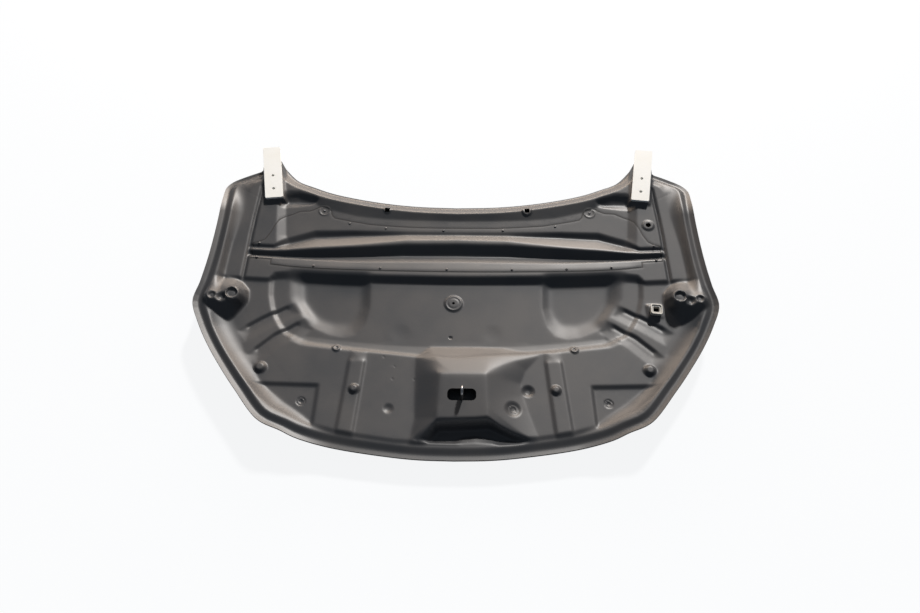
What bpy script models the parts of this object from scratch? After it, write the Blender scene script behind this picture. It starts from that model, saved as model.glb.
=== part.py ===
"""Car bonnet lying on its outer skin, inner side up.

+X is the right of the photograph, +Y runs to the windscreen and the nose is at -Y.
Everything is drawn from a datum on the crown of the skin, and moved at the end so that the origin
is on the ground under the middle of the whole part.

Every moulded sheet is one pressing. It is drawn in plan, raised to a height for each point of the
plan, and given its wall along the direction in which the mould opens.
"""
import math

import bmesh
import bpy
import numpy as np
from mathutils import Matrix, Vector
from mathutils.bvhtree import BVHTree
from mathutils.geometry import delaunay_2d_cdt

MM = 0.001

# Walls and the clearances between sheets
SKIN_WALL = 2.5 * MM
INNER_WALL = 2.2 * MM
BRACE_WALL = 2.5 * MM
BOND_GAP = 0.4 * MM
SEAT_GAP = 0.3 * MM

# Crown of the outer skin: its rise across the width and along the length
CROWN_ACROSS = 0.07
CROWN_ACROSS_4 = 0.03
CROWN_ALONG = 0.12

# Turned-up edge of the outer skin, at the nose and at the sides
CURL_WIDTH = 120 * MM
CURL_NOSE = 12 * MM
CURL_SIDE = 40 * MM
CURL_POWER = 1.5
CORNER_START = 300 * MM
CORNER_END = 500 * MM
CURL_FADE_START = 290 * MM
CURL_FADE_END = 430 * MM
CURL_REAR_SHARE = 0.1

# Levels of the inner panel's upper face above the outer skin's lower face
HEM_LEVEL = SKIN_WALL + BOND_GAP + INNER_WALL
RIM_NOSE_LEVEL = 14 * MM
RIM_SIDE_LEVEL = 20 * MM
BOWL_LEVEL = 6.5 * MM
WELL_LEVEL = 15 * MM
SHELF_LEVEL = 24 * MM
DECK_LEVEL = 30 * MM
BASIN_LEVEL = 22 * MM
TOWER_LEVEL = 62 * MM
LATCH_TOP = 66 * MM

# Strips round the edge, each by its distance from the outline
SKIN_LIP = 4 * MM
HEM_SIDE = 16 * MM
RIM_SIDE = 26 * MM
HEM_REAR = 7 * MM
RIM_REAR = 36 * MM

# Where the rim's turned-up height gives way to the deck's level, along Y and then across
RIM_BLEND_Y = (250 * MM, 350 * MM)
RIM_BLEND_X = (560 * MM, 630 * MM)

# Plan of the right half, in millimetres
REAR_EDGE = [(0, 363), (133, 367), (257, 380), (373, 401), (444, 423), (500, 446), (557, 503)]
SIDE_EDGE = [(606, 467), (636, 451), (658, 438), (678, 425), (692, 411), (701, 392), (702, 372),
             (698, 335), (695, 290), (695, 210), (697, 130), (702, 50), (708, -16), (681, -79),
             (643, -143), (596, -208), (552, -263),
             (486, -338), (425, -365), (376, -384), (279, -405), (163, -421), (85, -428), (0, -430)]
RIM_EDGE = [(0, 328), (130, 332), (240, 342), (372, 362), (480, 392), (560, 424), (600, 428), (628, 416),
            (648, 402), (663, 384), (666, 362), (662, 325), (661, 200), (660, 85), (655, -50), (645, -87),
            (613, -137), (580, -179), (543, -223), (494, -276), (456, -305), (430, -317), (379, -341),
            (356, -350), (295, -367), (257, -373), (200, -381), (150, -388), (96, -391), (0, -393)]
FLOOR_EDGE = [(0, 324), (130, 328), (240, 338), (372, 357), (480, 386), (560, 413), (596, 415),
              (616, 402), (626, 382), (627, 352), (631, 300), (640, 235), (646, 190), (648, 150), (649, 100),
              (645, 50), (625, 0), (597, -62), (573, -102), (556, -146), (532, -173), (503, -225),
              (473, -253), (428, -286), (381, -316), (352, -340), (292, -357), (257, -363),
              (200, -371), (150, -378), (96, -381), (0, -383)]
SHELF_EDGE = [(0, -143), (100, -143), (150, -141), (200, -139), (280, -136), (370, -127), (414, -122),
              (446, -109), (440, -92), (424, -66), (418, -36), (434, -18), (452, 6), (465, 26),
              (478, 130), (0, 130)]
WELL_EDGE = [(0, -115), (108, -114), (217, -109), (310, -101), (405, -92), (398, -70), (388, -40),
             (406, -9), (426, 20), (445, 130), (0, 130)]
BOWL_EDGE = [(480, 130), (465, 26), (452, 6), (425, -25), (400, -58), (341, -84), (304, -90),
             (272, -80), (252, -50), (243, 5), (246, 60), (252, 130)]
BOWL_BOTTOM = [(446, 130), (427, 20), (406, -9), (371, -36), (334, -47), (293, -43), (272, -20),
               (262, 10), (266, 130)]
DECK_FOOT = [(0, 86), (330, 86), (470, 88), (519, 82), (532, 71), (700, 71), (700, 560), (0, 560)]
DECK_EDGE = [(0, 104), (335, 106), (470, 108), (516, 100), (528, 80), (690, 80), (690, 550), (0, 550)]
DECK_WALL_END = 645
BASIN_EDGE = [(0, 228), (150, 224), (310, 202), (420, 190), (500, 180), (522, 192), (527, 214),
              (541, 335), (528, 374), (481, 381), (433, 372), (372, 360), (235, 340), (130, 330),
              (0, 326)]
BASIN_FLOOR = [(0, 252), (150, 251), (310, 246), (420, 236), (490, 212), (503, 232), (518, 341),
               (518, 356), (480, 360), (433, 350), (380, 330), (300, 312), (213, 305), (130, 303),
               (0, 302)]

# Corrugation of the cross brace: the lines where its slope changes, from rear to front, each by the
# distance from the middle and the place along +Y, and the depth that each line has below the deck
BRACE_STATIONS = (0, 150, 310, 420, 500, 530, 592, 600)
BRACE_CREASES = (
    ((262, 262, 260, 254, 222, 192, 190, 190), (0, 0, 0, 0, 0, 0, 0, 0)),
    ((252, 251, 246, 236, 204, 185, 184, 184), (2, 3, 9, 10, 8, 7, 7, 0)),
    ((228, 224, 202, 190, 178, 176, 175, 175), (-3, -3, -3, -2, 0, 0, 0, 0)),
    ((214, 211, 194, 183, 173, 171, 170, 170), (-3, -3, -3, -2, 0, 0, 0, 0)),
    ((184, 182, 176, 168, 162, 160, 160, 160), (18, 18, 18, 17, 14, 12, 12, 0)),
    ((154, 152, 148, 150, 151, 151, 151, 151), (0, 0, 0, 0, 0, 0, 0, 0)),
)

# Cross brace outline, its seat in the inner panel, and the opening that it closes
SEAM = [(0, 279), (120, 279), (190, 282), (260, 286), (322, 296), (366, 304), (374, 312), (379, 328),
        (389, 339), (404, 344), (419, 341), (432, 332), (446, 325), (474, 322), (496, 309), (516, 299),
        (530, 284), (541, 258), (548, 236), (560, 212), (575, 202), (592, 196), (592, 141), (534, 141),
        (533, 124), (470, 119), (385, 117), (230, 117), (0, 117)]
SEAM_WIDTH = 2.4 * MM
BRACE_OPENING = [(0, 260), (180, 262), (300, 274), (362, 284), (404, 310), (440, 304), (484, 290),
                 (510, 262), (526, 225), (544, 198), (574, 184), (574, 160), (512, 158), (505, 142),
                 (380, 137), (0, 137)]

# Narrow channel between the hinge rail and the side floor
RAIL_CHANNEL = [(591, 401), (594, 346), (597, 290), (599, 230), (599, 130), (599, 84)]
RAIL_CHANNEL_WIDTH = 13 * MM
RAIL_CHANNEL_FLOOR = 4 * MM
RAIL_CHANNEL_DEPTH = 10 * MM

# Two channels that run out from the well on each side
SIDE_CHANNELS = ([(446, 15), (487, -13), (530, -42), (586, -86)],
                 [(413, -33), (457, -68), (489, -91), (550, -156)])
SIDE_CHANNEL_WIDTH = 36 * MM
SIDE_CHANNEL_REAR_WALL = 6 * MM
SIDE_CHANNEL_FRONT_WALL = 14 * MM
SIDE_CHANNEL_DEPTH = 7 * MM

# Terrace beside each bowl, a little below the shelf, and the narrow wall that leads down to it
TERRACE_EDGE = [(0, -160), (400, -118), (462, -92), (482, -66), (500, -36), (511, -8), (521, 27),
                (526, 66), (528, 130), (0, 130)]
TERRACE_FLOOR = [(0, -150), (395, -106), (450, -82), (471, -60), (489, -32), (500, -4), (510, 30),
                 (515, 68), (516, 130), (0, 130)]
TERRACE_LEVEL = 19 * MM

# Raised bands and sunken pads of the front shelf
BAND_FOOT = [(247, -368), (294, -368), (280, -112), (233, -112)]
BAND_TOP = [(252, -364), (289, -364), (275, -117), (238, -117)]
BAND_RISE = 4 * MM
PAD_X = (350 * MM, 530 * MM)
PAD_Y = (-350 * MM, -233 * MM)
PAD_WALL = 6 * MM
PAD_DEPTH = 5 * MM

# Bump-stop towers
TOWER_FOOT = [(686, -13), (690, 20), (681, 50), (665, 70), (640, 79), (598, 77), (572, 64), (559, 34),
              (557, 0), (566, -42), (590, -62), (636, -46)]
TOWER_TOP = [(674, 4), (670, 20), (650, 36), (620, 46), (592, 42), (576, 30), (575, 8), (584, -6),
             (612, -8), (640, -12), (660, -12)]

# Latch box, not quite in the middle of the bonnet, as full outlines
LATCH_FOOT = [(-70, -115), (60, -115), (130, -118), (222, -146), (186, -200), (162, -250),
              (152, -295), (150, -340), (112, -356), (64, -350), (26, -350), (-2, -351), (-35, -353),
              (-75, -360), (-97, -323), (-102, -228), (-104, -150)]
LATCH_CREST = [(-40, -212), (79, -212), (81, -326), (50, -330), (-44, -332), (-43, -265)]

# Round features of both sides: place, foot radius, top radius and rise, in millimetres
PAIRED_ROUNDS = (
    ((505, -192), 18, 8, 9),
    ((259, -246), 15, 7, 8),
    ((318, -126), 12, 8, 3),
    ((390, -281), 12, 8, -3),
    ((598, 8), 18, 15, -15),
    ((657, 2), 10, 7, -8),
)
# Round features of one side only
SINGLE_ROUNDS = (
    ((-7, 23), 27, 22, 5),
    ((-168, -297), 13, 5, -4),
    ((147, -300), 19, 9, -6),
    ((188, -247), 15, 7, -6),
    ((565, 268), 20, 15, 3),
    ((212, 334), 17, 13, 2),
    ((-212, 334), 12, 9, 2),
)

# Holes through the inner panel
LATCH_HOLE_X = (-19 * MM, 54 * MM)
LATCH_HOLE_Y = (-285 * MM, -253 * MM)
LATCH_HOLE_ROUND = 12 * MM
NOZZLE_HOLE = 11 * MM
NOZZLE_PLACES = ((212, 334), (-212, 334))
RAIL_HOLE_RADIUS = 6 * MM
RAIL_HOLE_PLACE = (565, 268)
DISC_HOLE_RADIUS = 4 * MM
DISC_HOLE_PLACE = (-7, 23)

# Stay socket on the right side, with its flat seat
SOCKET_PLACE = (547 * MM, -15 * MM)
SOCKET_SIDE = 31 * MM
SOCKET_HEIGHT = 12 * MM
SOCKET_HOLE = 16 * MM
SOCKET_SEAT_MARGIN = 3 * MM
SOCKET_SEAT_WALL = 4 * MM
SOCKET_SEAT_RISE = 3 * MM

# Hinge plates, leaning outwards to the rear, on flat seats
PLATE_FRONT = (549.5 * MM, 350 * MM)
PLATE_WIDTH = 52 * MM
PLATE_LENGTH = 186 * MM
PLATE_WALL = 8 * MM
PLATE_LEAN = math.radians(10.5)
PLATE_HOLE_RADIUS = 4.2 * MM
PLATE_HOLES = (32 * MM, 80 * MM)
PLATE_SEAT_MARGIN = 2 * MM
PLATE_SEAT_WALL = 5 * MM
PLATE_SEAT_RISE = 5 * MM
PLATE_SEAT_TOUCH = (18 * MM, 60 * MM)
PLATE_CORNER = 4 * MM

# Striker loop and the hat-shaped bracket that holds it under the latch hole
STRIKER_X = 18 * MM
STRIKER_LEGS_Y = (-279 * MM, -259 * MM)
STRIKER_WIRE = 7 * MM
STRIKER_REACH = 38 * MM
STRIKER_BEND_STEPS = 12
BRACKET_WALL = 2 * MM
BRACKET_DEPTH = 28 * MM
BRACKET_FLANGE = 13 * MM
BRACKET_CLEAR = 2 * MM
BRACKET_LENGTH = 56 * MM

# Blind rivets of the cross brace
RIVET_RADIUS = 3.5 * MM
RIVET_HEIGHT = 2 * MM
RIVET_TOP_SHARE = 0.55
RIVET_INSET = 11 * MM
RIVET_SIDES = 10
SEAT_PROBES = 8
PROBE_HEIGHT = 1.0
REAR_RIVETS_X = (-322, -213, -40, 138, 295)
REAR_RIVETS_EAR = ((401, 326), (572, 195.5))
FRONT_RIVETS_X = (-410, -220, -28, 160, 317, 444)
FRONT_RIVETS_END = ((572, 147.5),)

# Mesh steps: along outlines, in open floors and round small circles
OUTLINE_STEP = 46 * MM
FLOOR_STEP = 58 * MM
SKIN_STEP = 95 * MM
CURL_STEP = 34 * MM
ROUND_SIDES = 12
LATTICE_CLEAR_SHARE = 0.4
STRAIGHT_TURN = 0.02
MERGE = 0.05 * MM
WELD = 0.01 * MM

# Materials: colour, roughness and how metallic
FINISHES = {
    "dark_laminate": ((0.075, 0.076, 0.078), 0.42, 0.0),
    "outer_gelcoat": ((0.06, 0.061, 0.063), 0.30, 0.0),
    "hinge_plate_paint": ((0.86, 0.83, 0.72), 0.45, 0.0),
    "striker_steel": ((0.30, 0.30, 0.31), 0.35, 1.0),
    "bracket_steel": ((0.05, 0.05, 0.052), 0.60, 0.6),
    "socket_plastic": ((0.62, 0.60, 0.55), 0.50, 0.0),
    "rivet_paint": ((0.10, 0.10, 0.105), 0.35, 0.4),
}


def metres(points):
    return np.array(points, dtype=float) * MM


def smooth_curve(points, step):
    """Points along a Catmull-Rom curve through the given points, about one step apart."""
    points = np.asarray(points, dtype=float)
    before = 2 * points[0] - points[1]
    after = 2 * points[-1] - points[-2]
    knots = np.vstack((before, points, after))
    found = []
    for a, b, c, d in zip(knots, knots[1:], knots[2:], knots[3:]):
        pieces = max(1, math.ceil(np.linalg.norm(c - b) / step))
        for k in range(pieces):
            t = k / pieces
            found.append(0.5 * (2 * b + (c - a) * t + (2 * a - 5 * b + 4 * c - d) * t ** 2
                                + (3 * b - a - 3 * c + d) * t ** 3))
    found.append(points[-1])
    return np.array(found)


def straight_run(points, step):
    """Points along straight runs between the given points, about one step apart."""
    found = []
    for a, b in zip(points, points[1:]):
        pieces = max(1, math.ceil(np.linalg.norm(b - a) / step))
        found += [a + (b - a) * k / pieces for k in range(pieces)]
    found.append(points[-1])
    return np.array(found)


def mirrored(points):
    return np.asarray(points) * (-1, 1)


def both_halves(half):
    """A closed outline from a half that starts and ends on the middle line."""
    return np.vstack((half, mirrored(half)[-2:0:-1]))


def closed_run(points, step):
    loop = np.vstack((points, points[:1]))
    return straight_run(loop, step)[:-1]


def inset(outline, distances):
    """The closed outline moved inwards, edge by edge, with mitred corners."""
    outline = np.asarray(outline)
    after = np.roll(outline, -1, axis=0)
    edge = after - outline
    normal = np.column_stack((-edge[:, 1], edge[:, 0]))
    normal /= np.linalg.norm(normal, axis=1)[:, None]
    area = np.sum(outline[:, 0] * after[:, 1] - after[:, 0] * outline[:, 1])
    normal *= np.sign(area)
    distances = np.broadcast_to(distances, len(outline))
    moved = []
    for k, point in enumerate(outline):
        first, second = normal[k - 1], normal[k]
        turn = first[0] * second[1] - first[1] * second[0]
        if abs(turn) < STRAIGHT_TURN:
            moved.append(point + (first * distances[k - 1] + second * distances[k]) / 2)
            continue
        shift = np.linalg.solve(np.array((first, second)), (distances[k - 1], distances[k]))
        moved.append(point + shift)
    return np.array(moved)


def ribbon(line, left, right):
    """A closed outline round a line, by its distances to the left and right of travel."""
    line = np.asarray(line)
    along = np.gradient(line, axis=0)
    along /= np.linalg.norm(along, axis=1)[:, None]
    across = np.column_stack((-along[:, 1], along[:, 0]))
    return np.vstack((line + across * left, (line - across * right)[::-1]))


def shortened(line, amount):
    """The line with both ends pulled in."""
    line = np.array(line, dtype=float)
    for end, neighbour in ((0, 1), (-1, -2)):
        run = line[neighbour] - line[end]
        line[end] += run / np.linalg.norm(run) * amount
    return line


def circle(centre, radius, sides=ROUND_SIDES):
    angles = 2 * math.pi * np.arange(sides) / sides
    return np.asarray(centre) + radius * np.column_stack((np.cos(angles), np.sin(angles)))


def box_outline(x_range, y_range, margin=0.0):
    left, right = x_range[0] - margin, x_range[1] + margin
    front, rear = y_range[0] - margin, y_range[1] + margin
    return np.array(((left, front), (right, front), (right, rear), (left, rear)))


def square(centre, side):
    half = side / 2
    return box_outline((centre[0] - half, centre[0] + half), (centre[1] - half, centre[1] + half))


def line_distance(points, line):
    """Distance of each point to a polyline."""
    nearest = np.full(len(points), np.inf)
    for a, b in zip(line, line[1:]):
        run = b - a
        share = np.clip(((points - a) @ run) / (run @ run), 0, 1)
        nearest = np.minimum(nearest, np.linalg.norm(points - a - share[:, None] * run, axis=1))
    return nearest


def loop_distance(points, outline):
    return line_distance(points, np.vstack((outline, outline[:1])))


def inside(points, outline):
    x, y = points[:, 0], points[:, 1]
    found = np.zeros(len(points), dtype=bool)
    for (ax, ay), (bx, by) in zip(outline, np.roll(outline, -1, axis=0)):
        if ay == by:
            continue
        crosses = (ay > y) != (by > y)
        found ^= crosses & (x < (bx - ax) * (y - ay) / (by - ay) + ax)
    return found


def within(points, foot, crest):
    """0 outside the foot outline, 1 inside the crest outline and an even slope between them."""
    to_foot = loop_distance(points, foot)
    to_crest = loop_distance(points, crest)
    share = to_foot / np.maximum(to_foot + to_crest, MERGE)
    share = np.where(to_foot < MERGE, 0.0, share)
    share = np.where(inside(points, crest) | (to_crest < MERGE), 1.0, share)
    return np.where(inside(points, foot) | (to_crest < MERGE), share, 0.0)


def smooth_step(value, start, end):
    t = np.clip((value - start) / (end - start), 0, 1)
    return t * t * (3 - 2 * t)


def mix(a, b, share):
    return a + (b - a) * share


# The bonnet's outline, from the rear middle clockwise round the right side to the nose and back
REAR_CURVE = smooth_curve(metres(REAR_EDGE), OUTLINE_STEP)
SIDE_CURVE = smooth_curve(metres(SIDE_EDGE), OUTLINE_STEP)
OUTLINE = both_halves(np.vstack((REAR_CURVE, SIDE_CURVE)))
TURNED_EDGE = np.vstack((SIDE_CURVE, mirrored(SIDE_CURVE)[-2::-1]))


def edge_strip(side_distance, rear_distance):
    """The outline moved inwards by one distance at the rear edge and by another elsewhere."""
    rear_edges = len(REAR_CURVE) - 1
    half = np.full(len(REAR_CURVE) + len(SIDE_CURVE) - 1, side_distance)
    half[:rear_edges] = rear_distance
    return inset(OUTLINE, np.concatenate((half, half[::-1])))


INNER_OUTLINE = edge_strip(SKIN_LIP, SKIN_LIP)
HEM_OUTLINE = edge_strip(HEM_SIDE, HEM_REAR)
RIM_OUTLINE = edge_strip(RIM_SIDE, RIM_REAR)
RIM_LOOP = both_halves(straight_run(metres(RIM_EDGE), OUTLINE_STEP))
FLOOR_LOOP = both_halves(straight_run(metres(FLOOR_EDGE), OUTLINE_STEP))
SHELF_LOOP = both_halves(straight_run(metres(SHELF_EDGE), OUTLINE_STEP))
WELL_LOOP = both_halves(straight_run(metres(WELL_EDGE), OUTLINE_STEP))
DECK_FOOT_LOOP = both_halves(straight_run(metres(DECK_FOOT), OUTLINE_STEP))
DECK_LOOP = both_halves(straight_run(metres(DECK_EDGE), OUTLINE_STEP))
BASIN_LOOP = both_halves(straight_run(metres(BASIN_EDGE), OUTLINE_STEP))
BASIN_FLOOR_LOOP = both_halves(straight_run(metres(BASIN_FLOOR), OUTLINE_STEP))
SEAM_LOOP = both_halves(straight_run(metres(SEAM), OUTLINE_STEP))
SEAT_LOOP = inset(SEAM_LOOP, SEAM_WIDTH / 2)
BRACE_LOOP = inset(SEAM_LOOP, SEAM_WIDTH)
OPENING_LOOP = both_halves(straight_run(metres(BRACE_OPENING), OUTLINE_STEP))
BOWL_LOOP = closed_run(metres(BOWL_EDGE), OUTLINE_STEP)
BOWL_BOTTOM_LOOP = closed_run(metres(BOWL_BOTTOM), OUTLINE_STEP)
TOWER_FOOT_LOOP = metres(TOWER_FOOT)
TOWER_TOP_LOOP = metres(TOWER_TOP)
LATCH_FOOT_LOOP = closed_run(metres(LATCH_FOOT), OUTLINE_STEP)
LATCH_LOOP = closed_run(metres(LATCH_CREST), OUTLINE_STEP)

RAIL_LINE = straight_run(metres(RAIL_CHANNEL), OUTLINE_STEP)
RAIL_CHANNEL_LOOP = ribbon(RAIL_LINE, RAIL_CHANNEL_WIDTH / 2, RAIL_CHANNEL_WIDTH / 2)
RAIL_FLOOR_LOOP = ribbon(shortened(RAIL_LINE, RAIL_CHANNEL_FLOOR),
                         RAIL_CHANNEL_FLOOR / 2, RAIL_CHANNEL_FLOOR / 2)
SIDE_CHANNEL_LOOPS = [ribbon(metres(line), 0, SIDE_CHANNEL_WIDTH) for line in SIDE_CHANNELS]
SIDE_CHANNEL_FLOORS = [
    ribbon(shortened(metres(line), SIDE_CHANNEL_REAR_WALL), -SIDE_CHANNEL_REAR_WALL,
           SIDE_CHANNEL_WIDTH - SIDE_CHANNEL_FRONT_WALL)
    for line in SIDE_CHANNELS]
TERRACE_LOOP = both_halves(straight_run(metres(TERRACE_EDGE), OUTLINE_STEP))
TERRACE_FLOOR_LOOP = both_halves(straight_run(metres(TERRACE_FLOOR), OUTLINE_STEP))
BAND_LOOP = metres(BAND_FOOT)
BAND_TOP_LOOP = metres(BAND_TOP)
PAD_LOOP = box_outline(PAD_X, PAD_Y)
PAD_FLOOR_LOOP = box_outline(PAD_X, PAD_Y, -PAD_WALL)
SOCKET_SEAT_LOOP = square(SOCKET_PLACE, SOCKET_SIDE + 2 * SOCKET_SEAT_MARGIN)
SOCKET_FOOT_LOOP = square(SOCKET_PLACE, SOCKET_SIDE + 2 * (SOCKET_SEAT_MARGIN + SOCKET_SEAT_WALL))


def plate_outline(margin):
    """Plan of a hinge plate's seat, which runs back past the bonnet's edge."""
    half = PLATE_WIDTH / 2 + margin
    corners = np.array(((-half, -margin), (half, -margin), (half, PLATE_LENGTH), (-half, PLATE_LENGTH)))
    turn = np.array(((math.cos(PLATE_LEAN), -math.sin(PLATE_LEAN)),
                     (math.sin(PLATE_LEAN), math.cos(PLATE_LEAN))))
    return corners @ turn + PLATE_FRONT


PLATE_SEAT_LOOP = plate_outline(PLATE_SEAT_MARGIN)
PLATE_FOOT_LOOP = plate_outline(PLATE_SEAT_MARGIN + PLATE_SEAT_WALL)


def crown(points):
    x, y = points[:, 0], points[:, 1]
    return CROWN_ACROSS * x ** 2 + CROWN_ACROSS_4 * x ** 4 + CROWN_ALONG * y ** 2


def corner_share(points):
    return smooth_step(np.abs(points[:, 0]), CORNER_START, CORNER_END)


def skin_height(points):
    """Lower face of the outer skin."""
    distance = line_distance(points, TURNED_EDGE)
    curl = np.clip(1 - distance / CURL_WIDTH, 0, 1) ** CURL_POWER
    fade = mix(1, CURL_REAR_SHARE, smooth_step(points[:, 1], CURL_FADE_START, CURL_FADE_END))
    return crown(points) + curl * fade * mix(CURL_NOSE, CURL_SIDE, corner_share(points))


def plate_seat_height(points):
    """Plane that touches the deck's crown under the middle of a hinge plate."""
    x, y = np.add(PLATE_FRONT, PLATE_SEAT_TOUCH)
    slope_x = 2 * CROWN_ACROSS * x + 4 * CROWN_ACROSS_4 * x ** 3
    slope_y = 2 * CROWN_ALONG * y
    middle = crown(np.array(((x, y),)))[0] + DECK_LEVEL + PLATE_SEAT_RISE
    return middle + slope_x * (np.abs(points[:, 0]) - x) + slope_y * (points[:, 1] - y)


def brace_corrugation(points):
    """Change of height across the cross brace's ridge and valleys."""
    x, y = np.abs(points[:, 0]), points[:, 1]
    stations = np.array(BRACE_STATIONS) * MM
    lines = np.array([np.interp(x, stations, np.array(place) * MM) for place, _ in BRACE_CREASES])
    drops = np.array([np.interp(x, stations, np.array(drop) * MM) for _, drop in BRACE_CREASES])
    change = np.zeros(len(points))
    for k in range(len(BRACE_CREASES) - 1):
        share = (lines[k] - y) / (lines[k] - lines[k + 1])
        here = (share >= 0) & (share <= 1)
        change = np.where(here, -mix(drops[k], drops[k + 1], share), change)
    return np.where(x <= stations[-1], change, 0.0)


def add_round(points, height, place, foot, top, rise):
    distance = np.linalg.norm(points - metres(place), axis=1) / MM
    return height + np.clip((foot - distance) / (foot - top), 0, 1) * rise * MM


def floor_height(points):
    """Upper face of the inner panel inside its rim, before the seam."""
    side = np.column_stack((np.abs(points[:, 0]), points[:, 1]))
    level = mix(WELL_LEVEL, BOWL_LEVEL, within(side, BOWL_LOOP, BOWL_BOTTOM_LOOP))
    shelf = mix(SHELF_LEVEL, TERRACE_LEVEL, within(points, TERRACE_LOOP, TERRACE_FLOOR_LOOP))
    level = mix(shelf, level, within(points, SHELF_LOOP, WELL_LOOP))
    for outer, floor in zip(SIDE_CHANNEL_LOOPS, SIDE_CHANNEL_FLOORS):
        level = level - SIDE_CHANNEL_DEPTH * within(side, outer, floor)
    level = level + BAND_RISE * within(side, BAND_LOOP, BAND_TOP_LOOP)
    level = level - PAD_DEPTH * within(side, PAD_LOOP, PAD_FLOOR_LOOP)
    deck = mix(DECK_LEVEL, BASIN_LEVEL, within(points, BASIN_LOOP, BASIN_FLOOR_LOOP))
    deck = deck - RAIL_CHANNEL_DEPTH * within(side, RAIL_CHANNEL_LOOP, RAIL_FLOOR_LOOP)
    level = mix(level, deck, within(points, DECK_FOOT_LOOP, DECK_LOOP))
    height = crown(points) + level + brace_corrugation(points)
    return mix(height, LATCH_TOP, within(points, LATCH_FOOT_LOOP, LATCH_LOOP))


def rim_height(points):
    """Upper face of the inner panel along its raised rim."""
    turned = skin_height(points) + mix(RIM_NOSE_LEVEL, RIM_SIDE_LEVEL, corner_share(points))
    rear = smooth_step(points[:, 1], *RIM_BLEND_Y)
    rear = rear * (1 - smooth_step(np.abs(points[:, 0]), *RIM_BLEND_X))
    return mix(turned, crown(points) + DECK_LEVEL, rear)


def relief(points):
    """Upper face of the inner panel and of the cross brace set flush in it."""
    side = np.column_stack((np.abs(points[:, 0]), points[:, 1]))
    height = mix(rim_height(points), floor_height(points), within(points, RIM_LOOP, FLOOR_LOOP))
    tower = crown(points) + TOWER_LEVEL
    height = mix(height, tower, within(side, TOWER_FOOT_LOOP, TOWER_TOP_LOOP))
    for place, foot, top, rise in PAIRED_ROUNDS:
        height = add_round(side, height, place, foot, top, rise)
    for place, foot, top, rise in SINGLE_ROUNDS:
        height = add_round(points, height, place, foot, top, rise)
    seat = crown(np.array((SOCKET_PLACE,)))[0] + SHELF_LEVEL + SOCKET_SEAT_RISE
    height = mix(height, seat, within(points, SOCKET_FOOT_LOOP, SOCKET_SEAT_LOOP))
    height = mix(skin_height(points) + HEM_LEVEL, height, within(points, HEM_OUTLINE, RIM_OUTLINE))
    return mix(height, plate_seat_height(points), within(side, PLATE_FOOT_LOOP, PLATE_SEAT_LOOP))


def inner_height(points):
    """Upper face of the inner panel, stepped down under the cross brace."""
    return relief(points) - (BRACE_WALL + SEAT_GAP) * within(points, SEAM_LOOP, SEAT_LOOP)


def rounded_box(x_range, y_range, radius, sides=4):
    """A box outline with round corners."""
    left, right = x_range[0] + radius, x_range[1] - radius
    front, rear = y_range[0] + radius, y_range[1] - radius
    points = []
    for quarter, (x, y) in enumerate(((right, rear), (left, rear), (left, front), (right, front))):
        for k in range(sides + 1):
            angle = math.pi / 2 * (quarter + k / sides)
            points.append((x + radius * math.cos(angle), y + radius * math.sin(angle)))
    return np.array(points)


HOLES = [rounded_box(LATCH_HOLE_X, LATCH_HOLE_Y, LATCH_HOLE_ROUND)]
HOLES += [square(metres(place), NOZZLE_HOLE) for place in NOZZLE_PLACES]
HOLES += [circle(metres(RAIL_HOLE_PLACE), RAIL_HOLE_RADIUS)]
HOLES += [circle(metres(DISC_HOLE_PLACE), DISC_HOLE_RADIUS)]
HOLES += [square(SOCKET_PLACE, SOCKET_HOLE)]


def feature_loops():
    """Every outline at which the panel's slope changes, on both sides."""
    whole = [RIM_LOOP, FLOOR_LOOP, SHELF_LOOP, WELL_LOOP, TERRACE_LOOP, TERRACE_FLOOR_LOOP, BASIN_LOOP,
             BASIN_FLOOR_LOOP, LATCH_FOOT_LOOP, LATCH_LOOP, SEAM_LOOP, SEAT_LOOP, BRACE_LOOP, OPENING_LOOP,
             SOCKET_SEAT_LOOP, SOCKET_FOOT_LOOP]
    halves = [BOWL_LOOP, BOWL_BOTTOM_LOOP, TOWER_FOOT_LOOP, TOWER_TOP_LOOP, RAIL_CHANNEL_LOOP,
              RAIL_FLOOR_LOOP, BAND_LOOP, BAND_TOP_LOOP, PAD_LOOP, PAD_FLOOR_LOOP, PLATE_SEAT_LOOP,
              PLATE_FOOT_LOOP]
    halves += SIDE_CHANNEL_LOOPS + SIDE_CHANNEL_FLOORS
    for place, foot, top, _ in PAIRED_ROUNDS:
        halves += [circle(metres(place), foot * MM), circle(metres(place), top * MM)]
    for place, foot, top, _ in SINGLE_ROUNDS:
        whole += [circle(metres(place), foot * MM), circle(metres(place), top * MM)]
    return whole + halves + [mirrored(loop) for loop in halves] + HOLES


def feature_lines():
    """Open lines: the deck's front wall and the cross brace's creases."""
    stations = np.array(BRACE_STATIONS) * MM
    lines = []
    for place, _ in BRACE_CREASES:
        half = np.column_stack((stations, np.array(place) * MM))
        lines.append(np.vstack((mirrored(half)[:0:-1], half)))
    for edge in (DECK_FOOT, DECK_EDGE):
        half = metres(edge[:-3] + [(DECK_WALL_END, edge[-3][1])])
        lines.append(np.vstack((mirrored(half)[:0:-1], half)))
    return lines


def floor_lattice(outline, step, lines):
    """Points in rows across an outline, clear of the given lines."""
    low, high = outline.min(axis=0), outline.max(axis=0)
    rows = np.arange(low[1], high[1], step * math.sqrt(3) / 2)
    reach = math.ceil(high[0] / step) * step
    points = np.array([(x + step / 2 * (k % 2), y)
                       for k, y in enumerate(rows) for x in np.arange(-reach, reach, step)])
    points = points[inside(points, outline)]
    clearance = np.min([line_distance(points, line) for line in lines], axis=0)
    return points[clearance > step * LATTICE_CLEAR_SHARE]


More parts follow.
